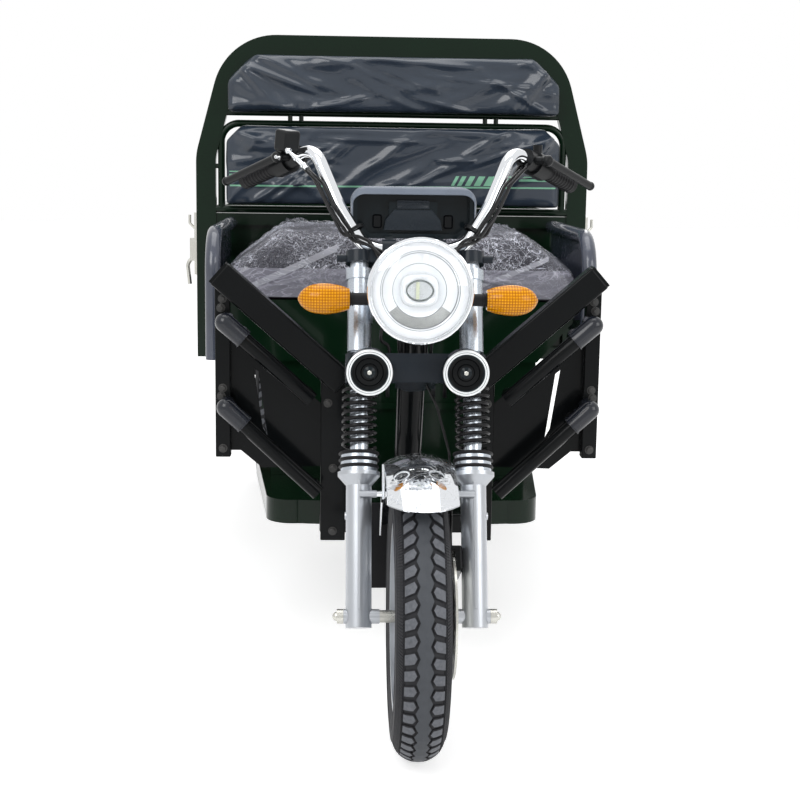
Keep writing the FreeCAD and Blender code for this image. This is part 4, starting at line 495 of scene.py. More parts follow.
# seat, pads and their films
finishOf("plushFabric", (0.004, 0.004, 0.007), (0.050, 0.048, 0.066), rough=(0.6, 0.9), fine=230.0,
         coarse=110.0, relief=0.8, depth=0.003)
finishOf("padVinyl", (0.015, 0.022, 0.033), (0.026, 0.036, 0.052), rough=(0.22, 0.42), fine=900.0,
         coarse=10.0, relief=0.2, shine=0.36)
# armrest vinyl: its lighter second tint, in patches stretched upright, is painted sheen of the film over it
finishOf("armVinylSheen", (0.022, 0.027, 0.044), (0.075, 0.087, 0.125), rough=(0.14, 0.3), fine=300.0, coarse=26.0,
         relief=0.3, depth=0.002, coat=0.5, stretch=(1, 1, 0.5))
finishOf("padFilm", (0.016, 0.025, 0.040), (0.032, 0.046, 0.068), rough=(0.14, 0.30), fine=260.0, coarse=7.0,
         relief=0.12, depth=0.0012, coat=0.35, coatRough=0.12, shine=0.36, stretch=(0.5, 1, 1))
# films whose pale creases are painted glints; the hem and band films also keep a pale haze of their own
filmWithCreaseGlints("seatFilm", (0.72, 0.74, 0.84), 0.03, [(46.0, 0.016, (1.3, 1, 1), (0, 20, 0), 1.0),
                                                    (26.0, 0.010, (2.2, 1, 1), (0, -35, 20), 1.0),
                                                    (78.0, 0.016, (1, 1, 1), (0, 10, 40), 0.90)])
filmWithCreaseGlints("hemFilm", (0.42, 0.42, 0.50), 0.50, [(26.0, 0.024, (3.0, 1, 1), (0, -12, 0), 0.50),
                                                   (44.0, 0.012, (1.5, 1, 1), (0, 30, 0), 0.50)])
filmWithCreaseGlints("bandFilm", (0.58, 0.59, 0.66), 0.55, [(30.0, 0.03, (4.0, 1, 1), (0, 24, 0), 0.45)])
filmWithCreaseGlints("fenderFilm", (0.85, 0.87, 0.90), 0.02, [(14.0, 0.020, (1.4, 1, 1), (0, 0, 0), 0.9)])

slotLooks = {
    "green_paint": "greenPaint", "box_paint": "greenPaint", "black_paint": "blackPaint",
    "chrome": "brightChrome", "cast_alloy": "castAlloy", "zinc_steel": "zincSteel",
    "spring_steel": "springSteel", "tyre_rubber": "tyreRubber", "black_rubber": "blackRubberAndGrooveShade",
    "black_plastic": "blackPlastic", "gloss_plastic": "glossPlastic", "seat_fabric": "plushFabric",
    "pad_vinyl": "padVinyl", "clear_lens": "clearLens", "amber_lens": "amberLens", "red_lens": "redLens",
    "grey_block": "motorGrey",
}
nodeLooks = {"fork_tubes": "satinTube", "fork_covers": "satinTube", "armrests": "armVinylSheen",
             "fork_bridges": "bridgePaint", "control_cables": "cableSheath"}
nodeSlots = {part["node"]: part["material_slot"] for part in frame["record"]["subparts"]}
for nodeName, node in frame["nodes"].items():
    for holder in node.material_slots:
        holder.material = looks[nodeLooks.get(nodeName, slotLooks[nodeSlots[nodeName]])]
print("finishes on the built pieces")

# tyres: a grooved carcass and its lugs, measured along the tread and across it from the crown's middle
tyre = {"radius": 0.250, "shoulder": (0.036, 0.234), "belly": (0.0465, 0.205), "bead": (0.0372, 0.1683),
        "seat": 0.1573, "pitches": 54, "steps": 108, "groove": 0.0042, "gap": 0.0088, "offset": 0.3,
        "lugNear": 0.0122, "lugKnee": 0.0175, "lugFar": 0.0375, "lugSlant": -0.30, "lugEdge": 0.0011,
        "lugCuts": (0.024, 0.031), "bandNear": 0.0082, "bandFar": 0.0140, "bandCuts": (-0.008, 0.0, 0.008),
        "ribs": 5, "ribWidth": 0.0030, "ribNear": 0.0405, "ribFar": 0.0600, "ribSlant": 0.30,
        "ribHeight": 0.0016,
        # the carcass from the crown outwards, as (place across, share of the groove's depth)
        "skin": [(0.0, -1), (0.01, -1), (0.02, -1), (0.03, -1), (0.0385, -1), (0.0395, -0.4), (0.05, -0.3),
                 (0.0605, -0.1), (0.0615, 0.2), (0.0635, 0.2), (0.0645, 0), (0.072, 0), (0.0795, 0),
                 (0.0803, 0.25), (0.0835, 0.25), (0.0843, 0), (0.094, 0)]}


def tyreContour():
    # outer line from the crown's middle to the bead, as (place along it, across, radius, way across, way out)
    wide, high = tyre["shoulder"]
    crown = arcPoints((-wide, high), (0, tyre["radius"]), (wide, high), 24)[12:]
    line = crown + arcPoints(tyre["shoulder"], tyre["belly"], tyre["bead"], 16)[1:]
    rows, run = [], 0.0
    for i, place in enumerate(line):
        before, after = line[max(i - 1, 0)], line[min(i + 1, len(line) - 1)]
        run += math.dist(before, place)
        du, dr = after[0] - before[0], after[1] - before[1]
        length = math.hypot(du, dr)
        rows.append((run, *place, -dr / length, du / length))
    return rows


def contourAt(rows, run, lift):
    # place across and radius, at a signed distance from the crown's middle and a height over the line
    side, run = (-1 if run < 0 else 1), min(abs(run), rows[-1][0])
    start, end = next(pair for pair in zip(rows, rows[1:]) if run <= pair[1][0])
    t = (run - start[0]) / (end[0] - start[0])
    u, r, nu, nr = (a + (b - a) * t for a, b in zip(start[1:], end[1:]))
    return side * (u + nu * lift), r + nr * lift


def makeTyre():
    rows = tyreContour()
    groove, pitch = tyre["groove"], fullTurn * tyre["radius"] / tyre["pitches"]
    shift = tyre["offset"] * pitch
    right = [contourAt(rows, run, share * groove)[::-1] for run, share in tyre["skin"] + [(rows[-1][0], 0)]]
    right.append((tyre["seat"], tyre["bead"][0]))
    left = [(radius, -place) for radius, place in reversed(right)]
    body = smooth(spun("tyreBody", left + right[1:], "X", tyre["steps"]), 30)

    def block(name, flat, height, cuts, top=1, edge=0, openEnds=False):
        # a raised flat outline, carried onto the crown, with a lighter rubber on top as painted light
        piece = outline(name, [(u, s, -height) for u, s in flat])
        for look in ("treadTopLitRubber", "tyreRubber", "bandTopLitRubber"):
            piece.data.materials.append(looks[look])
        raiseSheet(piece, (0, 0, height))
        if edge:
            bevel(piece, edge)
        if openEnds:
            with editing(piece, lambda face: abs(face.normal.x) > 0.99):
                bpy.ops.mesh.delete(type="FACE")
        for cut in cuts:
            with editing(piece):
                bpy.ops.mesh.bisect(plane_co=(0, cut, 0), plane_no=(0, 1, 0))
        # tops take the lighter rubber as painted light, sides the carcass rubber
        for face in piece.data.polygons:
            face.material_index = top if face.normal.z > 0.9 else 1
        for vertex in piece.data.vertices:
            along, side, lift = vertex.co
            u, radius = contourAt(rows, side, lift)
            angle = along / tyre["radius"]
            vertex.co = (u, -radius * math.cos(angle), radius * math.sin(angle))
        return piece

    def lug(side, move):
        near, knee, far, half = tyre["lugNear"], tyre["lugKnee"], tyre["lugFar"], (pitch - tyre["gap"]) / 2
        lean = tyre["lugSlant"] * (far - knee)
        flat = [(0, near), (half, knee), (half + lean, far), (lean - half, far), (-half, knee)]
        cuts = [side * s for s in tyre["lugCuts"]]
        return block("lug", [(u + move, side * s) for u, s in flat], groove, cuts, 0, tyre["lugEdge"])

    def rib(side, index):
        # a thin slanted rib low on the shoulder
        near, far, half = tyre["ribNear"], tyre["ribFar"], tyre["ribWidth"] / 2
        start = (index + 0.5) * pitch / tyre["ribs"] - pitch / 2
        lean = start + tyre["ribSlant"] * (far - near)
        flat = [(start - half, near), (start + half, near), (lean + half, far), (lean - half, far)]
        return block("rib", [(u, side * s) for u, s in flat], tyre["ribHeight"], [side * (near + far) / 2])

    def bandEdge(u, move):
        place = abs(((u - move) / pitch + 0.5) % 1.0 - 0.5) * 2
        return tyre["bandNear"] + (tyre["bandFar"] - tyre["bandNear"]) * place

    def band():
        # the zigzag band round the crown's middle, open at both ends of a pitch
        ends = [-pitch / 2, pitch / 2]
        flat = [(u, bandEdge(u, 0)) for u in sorted(ends + [0.0])]
        flat += [(u, -bandEdge(u, shift)) for u in sorted(ends + [shift, shift - pitch / 2], reverse=True)]
        return block("band", flat, groove, tyre["bandCuts"], 2, openEnds=True)

    ribs = [rib(side, index) for side in (1, -1) for index in range(tyre["ribs"])]
    unit = join([band(), lug(1, 0.0), lug(-1, shift), *ribs], "treadUnit")
    turns = [Matrix.Rotation(fullTurn * i / tyre["pitches"], 4, "X") for i in range(tyre["pitches"])]
    tread = join([copyOf(unit, "pitch", turn) for turn in turns], "tread")
    dropPiece(unit)
    with editing(tread):
        bpy.ops.mesh.remove_doubles(threshold=0.00002)
    body.data.materials.append(looks["tyreRubber"])
    return body, tread


def placeTyres():
    body, tread = makeTyre()
    wheels = {"front": "front_wheel", "rearRight": "rear_wheel_right", "rearLeft": "rear_wheel_left"}
    for name, wheel in wheels.items():
        node = wheel.replace("wheel", "tyre")
        low, high = boxOf(node)
        place = Matrix.Translation(((low.x + high.x) / 2, (low.y + high.y) / 2, tyre["radius"]))
        carcass = dress(copyOf(body, name + "TyreBody", place), wheel, "tyre_rubber")
        dress(copyOf(tread, name + "TyreTread", place), wheel, "tyre_rubber")
        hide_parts(node)
    dropPiece(body)
    dropPiece(tread)
    print("tyres")


# headlamp: plated rim ring, reflector, projector and domed glass, drawn facing -Y round the origin
def makeHeadlamp():
    lamp = {"centre": (0, -1.268, 0.821), "tilt": -3.0, "opening": 0.0845, "steps": 72, "dome": 0.016,
            "glass": 0.0016,
            # lines as (radius, depth)
            "bowl": [(0.0845, 0.0085), (0.0700, 0.0105), (0.0690, 0.0125), (0.0668, 0.0140), (0.0655, 0.0200),
                     (0.0560, 0.0280), (0.0480, 0.0330), (0.0470, 0.0360), (0.0400, 0.0400), (0.0300, 0.0420),
                     (0.0010, 0.0430), (0.0010, 0.0450), (0.0310, 0.0440), (0.0410, 0.0420), (0.0500, 0.0370),
                     (0.0580, 0.0300), (0.0680, 0.0210), (0.0845, 0.0110)],
            "rim": [(0.0925, 0.0040), (0.0930, 0.0015), (0.0920, -0.0010), (0.0900, -0.0022),
                    (0.0875, -0.0018), (0.0865, -0.0002), (0.0850, 0.0002), (0.0840, 0.0020),
                    (0.0845, 0.0060), (0.0890, 0.0055)],
            "lines": (0.0695, 0.0661, 0.0475), "lineReach": 0.0006, "lineDepth": 0.038,
            "facets": (0.047, 0.064), "facetAngles": (-145, -35), "facetDepth": 0.034,
            "bezel": (0.034, 0.029), "bezelDepth": 0.040, "bezelPower": 3.2,
            "eye": (0.0245, 0.019), "eyeDepth": 0.022, "bulge": 0.010,
            # each ring of the bezel, as (share of the size before, step back)
            "bezelRings": [(0.97, -0.012), (0.95, -0.004), (0.90, -0.002), (0.86, 0.003), (0.80, 0.001)],
            "backDepth": 0.0235, "backEdge": 0.004, "backSink": -0.003,
            "chip": (-0.007, -0.001), "chipHalf": 0.015, "chipDepth": 0.0225, "chipThick": 0.0012,
            "chipEdge": 0.0004}

    def oval(size, depth, power, count):
        # an upright oval, squarer with more power
        line = []
        for i in range(count):
            c, s = math.cos(fullTurn * i / count), math.sin(fullTurn * i / count)
            line.append((math.copysign(abs(c) ** (2 / power), c) * size[0], depth,
                         math.copysign(abs(s) ** (2 / power), s) * size[1]))
        return line

    reflector = smooth(spun("lampReflector", lamp["bowl"], "Y", lamp["steps"]), 28)
    # the reflector's white is a painted reflection
    for look in ("mirrorPlate", "lampFacet", "lampGrooveShade"):
        reflector.data.materials.append(looks[look])
    (near, far), (first, last) = lamp["facets"], lamp["facetAngles"]
    for face in reflector.data.polygons:
        x, y, z = face.center
        radius, angle = math.hypot(x, z), math.degrees(math.atan2(z, x))
        faceted = near < radius < far and first < angle < last and y < lamp["facetDepth"]
        # faces at the groove radii take the dark rings: painted shade in the grooves
        gap = min(abs(radius - line) for line in lamp["lines"])
        grooveShaded = gap < lamp["lineReach"] and y < lamp["lineDepth"]
        face.material_index = 2 if grooveShaded else int(faceted)
    rim = smooth(spun("lampRimRing", lamp["rim"], "Y", lamp["steps"]), 28)
    bezel = outline("lampBezel", oval(lamp["bezel"], lamp["bezelDepth"], lamp["bezelPower"], 48))
    for share, step in lamp["bezelRings"]:
        with editing(bezel, lambda face: face.normal.y < -0.9 or len(bezel.data.polygons) == 1):
            bpy.ops.mesh.extrude_region_move(TRANSFORM_OT_translate={"value": (0, step, 0)})
            bpy.ops.transform.resize(value=(share, 1, share), center_override=(0, 0, 0))
    smooth(tidyMesh(bezel), 50)
    eye = newPiece("lampProjectorLens", bpy.ops.mesh.primitive_uv_sphere_add, segments=40, ring_count=20,
                   radius=1)
    with editing(eye):
        bpy.ops.mesh.bisect(plane_co=(0, 0.1, 0), plane_no=(0, 1, 0), clear_outer=True, use_fill=True)
        bpy.ops.mesh.select_all(action="SELECT")
        size = (lamp["eye"][0], lamp["bulge"], lamp["eye"][1])
        bpy.ops.transform.resize(value=size, center_override=(0, 0, 0))
    smooth(moveTo(eye, Matrix.Translation((0, lamp["eyeDepth"], 0))), 50)
    back = outline("lampProjectorBack", oval(lamp["eye"], lamp["backDepth"], 2.0, 40))
    with editing(back):
        bpy.ops.mesh.inset(thickness=lamp["backEdge"], depth=lamp["backSink"])
    (left, right), half, depth = lamp["chip"], lamp["chipHalf"], lamp["chipDepth"]
    chip = outline("lampChip", [(left, depth, -half), (right, depth, -half), (right, depth, half),
                                (left, depth, half)])
    bevel(raiseSheet(chip, (0, -lamp["chipThick"], 0)), lamp["chipEdge"])
    shares = [1 - i / 14 for i in range(15)]
    dome = [(max(lamp["opening"] * s, 0.0004), 0.001 - lamp["dome"] * (1 - s ** 2) ** 0.8) for s in shares]
    inner = [(radius, depth + lamp["glass"]) for radius, depth in reversed(dome)]
    glass = smooth(spun("lampGlass", dome + inner, "Y", lamp["steps"]), 28)
    place = Matrix.Translation(lamp["centre"]) @ Matrix.Rotation(math.radians(lamp["tilt"]), 4, "X")
    for piece, slot, *names in ((reflector, "chrome"), (rim, "chrome", "brightChrome"),
                                (bezel, "chrome", "mirrorPlate"), (eye, "clear_lens", "lampEye"),
                                (back, "black_plastic", "darkChamber"),
                                (chip, "cast_alloy", "chipPlate"), (glass, "clear_lens", "lensGlass")):
        dress(moveTo(piece, place), "steering", slot, *names)
    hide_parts("headlamp_lens")
    print("headlamp")


# horns: a plated ring, a thinner one inside it, and a dark dish with a centre nut
def makeHorns():
    horn = {"rim": 0.0410, "steps": 56, "nut": (0.0042, 0.0035, 0.0058), "nutDepth": 0.0046,
            "outer": [(0.0412, 0.006), (0.0415, 0.0010), (0.0406, -0.0014), (0.0394, -0.0020),
                      (0.0380, -0.0018), (0.0374, -0.0008), (0.0370, 0.0060)],
            "inner": [(0.0369, 0.0062), (0.0367, -0.0006), (0.0360, -0.0014), (0.0342, -0.0012),
                      (0.0334, 0.0004), (0.0332, 0.0064)],
            "dish": [(0.0368, 0.0050), (0.0354, 0.0050), (0.0333, 0.0054), (0.0300, 0.0070), (0.0255, 0.0078),
                     (0.0245, 0.0068), (0.0235, 0.0078), (0.0160, 0.0070), (0.0150, 0.0058), (0.0140, 0.0066),
                     (0.0080, 0.0048), (0.0006, 0.0044), (0.0006, 0.0086), (0.0368, 0.0086)]}
    low, high = boxOf("horns")
    nut = moveTo(boltHead("hornNut", *horn["nut"]), aimed((0, horn["nutDepth"], 0), ahead))
    # the two rings take the white plate finish, a painted reflection
    parts = [(spun("hornRim", horn["outer"], "Y", horn["steps"]), "chrome", "mirrorPlate"),
             (spun("hornRing", horn["inner"], "Y", horn["steps"]), "chrome", "mirrorPlate"),
             (spun("hornDish", horn["dish"], "Y", horn["steps"]), "gloss_plastic", "blackPaint"),
             (nut, "zinc_steel", "zincSteel")]
    for side, name in ((1, "Right"), (-1, "Left")):
        place = Matrix.Translation((side * (high.x - horn["rim"]), low.y, (low.z + high.z) / 2))
        for part, slot, look in parts:
            dress(smooth(copyOf(part, part.name + name, place), 30), "steering", slot, look)
    for part, slot, look in parts:
        dropPiece(part)
    print("horns")


def makeBolts():
    bolts = {"face": -0.902, "size": (0.0060, 0.0042, 0.0088),
             "places": [(0.369, 0.770), (0.372, 0.752), (0.369, 0.592), (0.372, 0.576), (0.369, 0.470),
                        (0.160, 0.563), (0.149, 0.300), (0.149, 0.430)]}
    head = boltHead("bolt", *bolts["size"])
    copies = [copyOf(head, "boltCopy", aimed((side * x, bolts["face"], z), ahead))
              for side in (1, -1) for x, z in bolts["places"]]
    dress(join(copies, "guardBolts"), "chassis", "zinc_steel", "boltSteel")
    dropPiece(head)
    print("bolts")


# leg guard bars: a bent round tube, a domed rubber boot with a neck on the outer post, a lug on the inner
def bentTube(name, start, way, run, side, sideRun, radius, bend):
    # a ring that runs straight, turns a quarter to the side and runs straight again, closed at both ends
    tube = newPiece(name, bpy.ops.mesh.primitive_circle_add, vertices=20, radius=radius, fill_type="NOTHING")
    moveTo(tube, aimed(start, way))
    centre = start + way * run + side * bend
    with editing(tube, by="VERT"):
        bpy.ops.mesh.extrude_region_move(TRANSFORM_OT_translate={"value": way * run})
        bpy.ops.mesh.spin(steps=8, angle=math.pi / 2, center=centre, axis=way.cross(side))
        bpy.ops.mesh.extrude_region_move(TRANSFORM_OT_translate={"value": side * sideRun})
        bpy.ops.mesh.select_all(action="SELECT")
        bpy.ops.mesh.fill_holes(sides=0)
    return tube


def makeGuardBars():
    bar = {"tubes": [((0.361, 0.728), (0.192, 0.577)), ((0.359, 0.560), (0.178, 0.390))], "face": -0.9023,
           "gap": 0.046, "radius": 0.0155, "bend": 0.020, "boot": 0.0190, "bootLength": 0.050, "wall": 0.0018,
           "dome": (15, 30, 45, 60, 75, 89), "neck": 0.0165, "lip": 0.0204, "lug": 0.0125, "lugPlace": 0.012}
    boot, length, inside = bar["boot"], bar["bootLength"], bar["boot"] - bar["wall"]
    shell = [(boot, 0.0010), (boot, length / 2), (boot, length)]
    shell += [(boot * math.cos(a), length + boot * math.sin(a)) for a in map(math.radians, bar["dome"])]
    shell += [(0.0004, length + inside), (inside * 0.7, length + inside * 0.7)]
    shell += [(inside, length), (inside, 0.0010)]
    lipLine = [(boot - 0.0005, -0.002), (bar["lip"], -0.0012), (bar["lip"], 0.0012), (boot - 0.0005, 0.002)]
    y, toPost = bar["face"] - bar["gap"], yWay * bar["gap"]
    made = []
    for index, ((x0, z0), (x1, z1)) in enumerate(bar["tubes"]):
        top, low = Vector((x0, y, z0)), Vector((x1, y, z1))
        way, run = (top - low).normalized(), (top - low).length - bar["bend"]
        start, foot = top - way * length, low + way * bar["lugPlace"]
        reach = bar["gap"] - bar["bend"]
        parts = [
            (bentTube("guardBar", low, way, run, yWay, reach, bar["radius"], bar["bend"]), "blackPaint"),
            (moveTo(spun("guardBoot", shell, "Z", 32), aimed(start, way)), "bootRubber"),
            (straightBar("guardNeck", top, top + toPost, bar["neck"], 20), "bootRubber"),
            (moveTo(spun("guardLip", lipLine, "Z", 28), aimed(start + way * 0.002, way)), "bootRubber"),
            (straightBar("guardLug", foot, foot + toPost, bar["lug"], 20), "blackPaint")]
        for part, look in parts:
            part.data.materials.append(looks[look])
        joined = join([part for part, look in parts], "guardBar" + str(index + 1))
        made.append(smooth(tidyMesh(joined, 0.00002), 40))
    for piece in list(made):
        made.append(tidyMesh(copyOf(piece, piece.name + "Left", Matrix.Scale(-1, 4, xWay))))
        piece.name += "Right"
    for piece in made:
        dress(piece, "chassis", "black_paint")
    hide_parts("guard_tubes")
    print("guard bars")


# instrument hood: the visor over its top edge, pale as a painted highlight of the rim,
# and the stepped panels in its mouth
def makeHood():
    hood = {"face": -1.002, "half": 0.1164, "corner": 0.0264, "side": 0.030, "depth": 0.050, "lipShare": 0.4,
            "lipSide": 0.003, "lipTop": 0.010, "lipForward": 0.008, "wall": 0.0018, "cover": 0.0004,
            "proud": 0.0015, "upper": (0.031, 0.0080, 0.002), "upperRise": 0.0165,
            "lower": [(-0.036, 0.007), (0.036, 0.007), (0.052, -0.012), (0.056, -0.032), (-0.056, -0.032),
                      (-0.052, -0.012)],
            "upperStep": (0.0120, 0.0025), "lowerStep": (0.0105, 0.004), "panelSink": -0.0012,
            "panelThick": 0.004, "panelEdge": 0.0007, "visorEdge": 0.0005,
            "pocket": (0.0090, 0.0130, 0.004), "pocketPlace": (0.068, 0.0295, -0.016),
            "pocketThick": 0.006, "pocketStep": (0.0025, -0.003)}
    low, high = boxOf("instrument_hood")
    top, corner, half, split = high.z + hood["cover"], hood["corner"], hood["half"], hood["lipShare"]
    flat, turn = half - corner, corner * math.pi / 2

    def visorSpot(u, v):
        # along the outline from one side over the top to the other, and back from the lip over the case
        side, run = math.copysign(1, u - 0.5), abs(u - 0.5) * 2 * (hood["side"] + turn + flat) - flat
        bend = min(max(run, 0) / corner, math.pi / 2)
        nx, nz = side * math.sin(bend), math.cos(bend)
        lip, over = max(0, 1 - v / split), max(0, (v - split) / (1 - split))
        inset = lip * (hood["lipSide"] + hood["lipTop"] * nz) - hood["wall"] / 2
        x = side * (flat + min(run, 0)) + nx * (corner - inset)
        z = top - corner - max(0, run - turn) + nz * (corner - inset)
        return x, hood["face"] - hood["proud"] + over * hood["depth"] - lip * hood["lipForward"], z

    visor = modify(placedGrid("hoodVisor", (60, 12), visorSpot), "SOLIDIFY", thickness=hood["wall"], offset=1)
    smooth(bevel(tidyMesh(visor), hood["visorEdge"], 2), 40)
    dress(visor, "steering", "gloss_plastic", "visorPaintedHighlight")
    middle, thick = (low.z + high.z) / 2, hood["panelThick"]
    upper = roundedPlate("hoodPanelUpper", *hood["upper"])
    moveTo(upper, Matrix.Translation((0, hood["upperRise"], 0)))
    lower = outline("hoodPanelLower", [(x, y, 0) for x, y in hood["lower"]])
    for piece, (depth, inset) in ((upper, hood["upperStep"]), (lower, hood["lowerStep"])):
        bevel(insetTop(raiseSheet(piece, (0, 0, thick)), inset, hood["panelSink"]), hood["panelEdge"], 2)
        smooth(moveTo(piece, aimed((0, hood["face"] + depth + thick, middle), ahead)))
        dress(piece, "steering", "gloss_plastic", "panelPlastic")
    pockets = []
    across, back, rise = hood["pocketPlace"]
    for side in (1, -1):
        pocket = raiseSheet(roundedPlate("hoodPocket", *hood["pocket"]), (0, 0, hood["pocketThick"]))
        insetTop(pocket, *hood["pocketStep"])
        pockets.append(moveTo(pocket, aimed((side * across, hood["face"] + back, middle + rise), ahead)))
    dress(smooth(join(pockets, "hoodPockets")), "steering", "black_plastic", "darkScreen")
    print("instrument hood")


# soft goods
def paddedFrom(node, name, soft):
    # the node's own solid, remeshed, swollen by cloth pressure and held near its start
    piece = copyOf(frame["nodes"][node], name, Matrix())
    piece.data.name = name
    piece.data.materials.clear()
    piece.hide_render = piece.hide_viewport = False
    tidyMesh(piece)
    for corner in piece.data.vertices:
        corner.co += corner.normal * -soft["shrink"]
    modify(piece, "REMESH", mode="VOXEL", voxel_size=soft["voxel"])
    start = [vertex.co.copy() for vertex in piece.data.vertices]
    cloth = piece.modifiers.new("cloth", "CLOTH")
    settings = cloth.settings
    settings.use_pressure = True
    settings.uniform_pressure_force = soft["pressure"]
    settings.effector_weights.gravity = 0
    settings.quality = 4
    settings.tension_stiffness = settings.compression_stiffness = soft["stiff"]
    settings.bending_stiffness = 0.5
    for step in range(1, soft["frames"] + 1):
        bpy.context.scene.frame_set(step)
    makeActive(piece)
    bpy.ops.object.modifier_apply(modifier=cloth.name)
    bpy.context.scene.frame_set(1)
    for vertex, place in zip(piece.data.vertices, start):
        moved = vertex.co - place
        if moved.length > soft["cap"]:
            vertex.co = place + moved.normalized() * soft["cap"]
    return smooth(modify(piece, "SMOOTH", factor=0.5, iterations=4), 180)


def ridgeLift(ridges, u, w):
    # height of the folds at a place: each fold is a soft line from one point to another
    lift, past, fadeOver = 0.0, 0.1, 0.3
    for (u0, w0), (u1, w1), width, height in ridges:
        du, dw = u1 - u0, w1 - w0
        length = math.hypot(du, dw)
        t = ((u - u0) * du + (w - w0) * dw) / (length * length)
        if -past < t < 1 + past:
            off = abs((u - u0) * dw - (w - w0) * du) / length
            fade = min(1, (t + past) / fadeOver) * min(1, (1 + past - t) / fadeOver)
            lift += height * fade * math.exp(-(off / width) ** 2)
    return lift


def foldsOver(rng, half, count, lean, span, width, rise):
    # folds strewn over a sheet, each with a lean, length, width and height from the ranges
    folds = []
    for i in range(count):
        u, w = rng.uniform(-half[0], half[0]), rng.uniform(-half[1], half[1])
        slope, reach = rng.uniform(*lean), rng.uniform(*span)
        du, dw = reach / 2, reach * slope / 2
        folds.append(((u - du, w - dw), (u + du, w + dw), rng.uniform(*width), rng.uniform(0.3, 1.0) * rise))
    return folds


def projectedSheet(name, target, centre, half, cuts, lift, way=(0, 1, 0), slant=0.0, folds=()):
    # a flat grid in front of a soft piece, pushed onto it along a way and lifted a little off it
    stayed, stretched = 0.012, 2.6
    axis = 1 if way[1] else 2
    rise = zWay if axis == 1 else yWay
    sheet = placedGrid(name, cuts, lambda u, v: Vector(centre) + xWay * ((u - 0.5) * 2 * half[0])
                       + rise * ((v - 0.5) * 2 * half[1] + slant * (u - 0.5) * 2 * half[0]))
    modify(sheet, "SHRINKWRAP", target=target, wrap_method="PROJECT", use_project_y=axis == 1,
           use_project_z=axis == 2, use_positive_direction=way[axis] > 0,
           use_negative_direction=way[axis] < 0, project_limit=0.3)
    cell = 4 * half[0] * half[1] / (cuts[0] * cuts[1])
    # what missed the soft piece, or stretches over its edge, comes off
    with editing(sheet, lambda face: abs(face.center[axis] - centre[axis]) < stayed
                 or face.area > stretched * cell):
        bpy.ops.mesh.delete(type="FACE")
    modify(sheet, "SMOOTH", factor=0.5, iterations=3)
    for vertex in sheet.data.vertices:
        u, w = vertex.co.x - centre[0], vertex.co[3 - axis] - centre[3 - axis]
        vertex.co[axis] -= way[axis] * (lift + ridgeLift(folds, u, w))
    return smooth(sheet, 180)


def makePads():
    soft = {"shrink": 0.0015, "voxel": 0.006, "pressure": 3.5, "stiff": 18, "frames": 16, "cap": 0.0025}
    film = {"lift": 0.0022, "cuts": (200, 60), "rise": 0.0066, "folds": 34, "span": (0.08, 0.32),
            "width": (0.006, 0.018), "rim": (0.008, 0.006), "before": 0.03,
            # the folds that fan out of a corner
            "fans": 5, "fanFrom": (0.020, 0.014), "fanSpan": (0.12, 0.34), "fanTurn": (8, 60),
            "fanSquash": 0.8, "fanRise": 0.9,
            # each pad's foot, top, how much narrower than the widest, its folds' lean, and its seed
            "pads": {"Lower": (0.928, 1.128, 0.0, (-0.1, 0.8), 11),
                     "Upper": (1.158, 1.302, 0.004, (-0.6, 0.3), 23)}}
    # stripes as (place across, height, half width, half height), slanted bars as (place across, half width)
    stripe = {"tilt": 0.004, "rows": [(-0.368, 1.011, 0.045, 0.0016), (-0.368, 1.002, 0.045, 0.0035),
                                      (0.330, 1.006, 0.080, 0.0016), (0.330, 0.998, 0.080, 0.0035)],
              "line": (0, 0.9775, 0.012, 0.0024), "bars": [(0.155, 0.0045), (0.172, 0.006), (0.193, 0.0075),
                                                           (0.217, 0.009), (0.243, 0.0105)],
              "barMiddle": 0.9945, "barHeight": 0.0125, "barLean": 0.55, "lift": 0.0006}
    pads = paddedFrom("backrest_pads", "backrestPads", soft)
    dress(pads, "chassis", "pad_vinyl", "padVinyl")
    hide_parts("backrest_pads")
    low, high = boxOf("backrest_pads")
    before = low.y - film["before"]
    films = {}
    for name, (bottom, top, narrower, lean, seed) in film["pads"].items():
        rng, halfWidth = random.Random(seed), high.x - narrower
        half = (halfWidth - film["rim"][0], (top - bottom) / 2 - film["rim"][1])
        folds = foldsOver(rng, half, film["folds"], lean, film["span"], film["width"], film["rise"])
        for corner in [-1] * film["fans"] + [1] * film["fans"]:
            u0, w0 = corner * (halfWidth - film["fanFrom"][0]), half[1] - film["fanFrom"][1]
            reach, turn = rng.uniform(*film["fanSpan"]), math.radians(rng.uniform(*film["fanTurn"]))
            end = (u0 - corner * reach * math.cos(turn), w0 - reach * math.sin(turn) * film["fanSquash"])
            folds.append(((u0, w0), end, rng.uniform(*film["width"]), film["rise"] * film["fanRise"]))
        sheet = projectedSheet("padFilm" + name, pads, (0, before, (top + bottom) / 2), half, film["cuts"],
                               film["lift"], folds=folds)
        dress(sheet, "chassis", "clear_lens", "padFilm")
        films[name] = sheet
    print("backrest pads")
    x, z, inset, tall = stripe["line"]
    strips = [projectedSheet("padLine", films["Lower"], (x, before, z), (high.x - inset, tall), (200, 3),
                             stripe["lift"], slant=stripe["tilt"])]
    for x, z, wide, tall in stripe["rows"]:
        strips.append(projectedSheet("padLine", films["Lower"], (x, before, z), (wide, tall), (40, 3),
                                     stripe["lift"], slant=stripe["tilt"]))
    for x, wide in stripe["bars"]:
        bar = projectedSheet("padBar", films["Lower"], (x, before, stripe["barMiddle"]),
                             (wide, stripe["barHeight"]), (6, 12), stripe["lift"])
        for vertex in bar.data.vertices:
            vertex.co.x += (vertex.co.z - stripe["barMiddle"]) * stripe["barLean"]
        strips.append(bar)
    dress(join(strips, "padStripes"), "chassis", "green_paint", "stripeGreen")
    print("pad stripes")


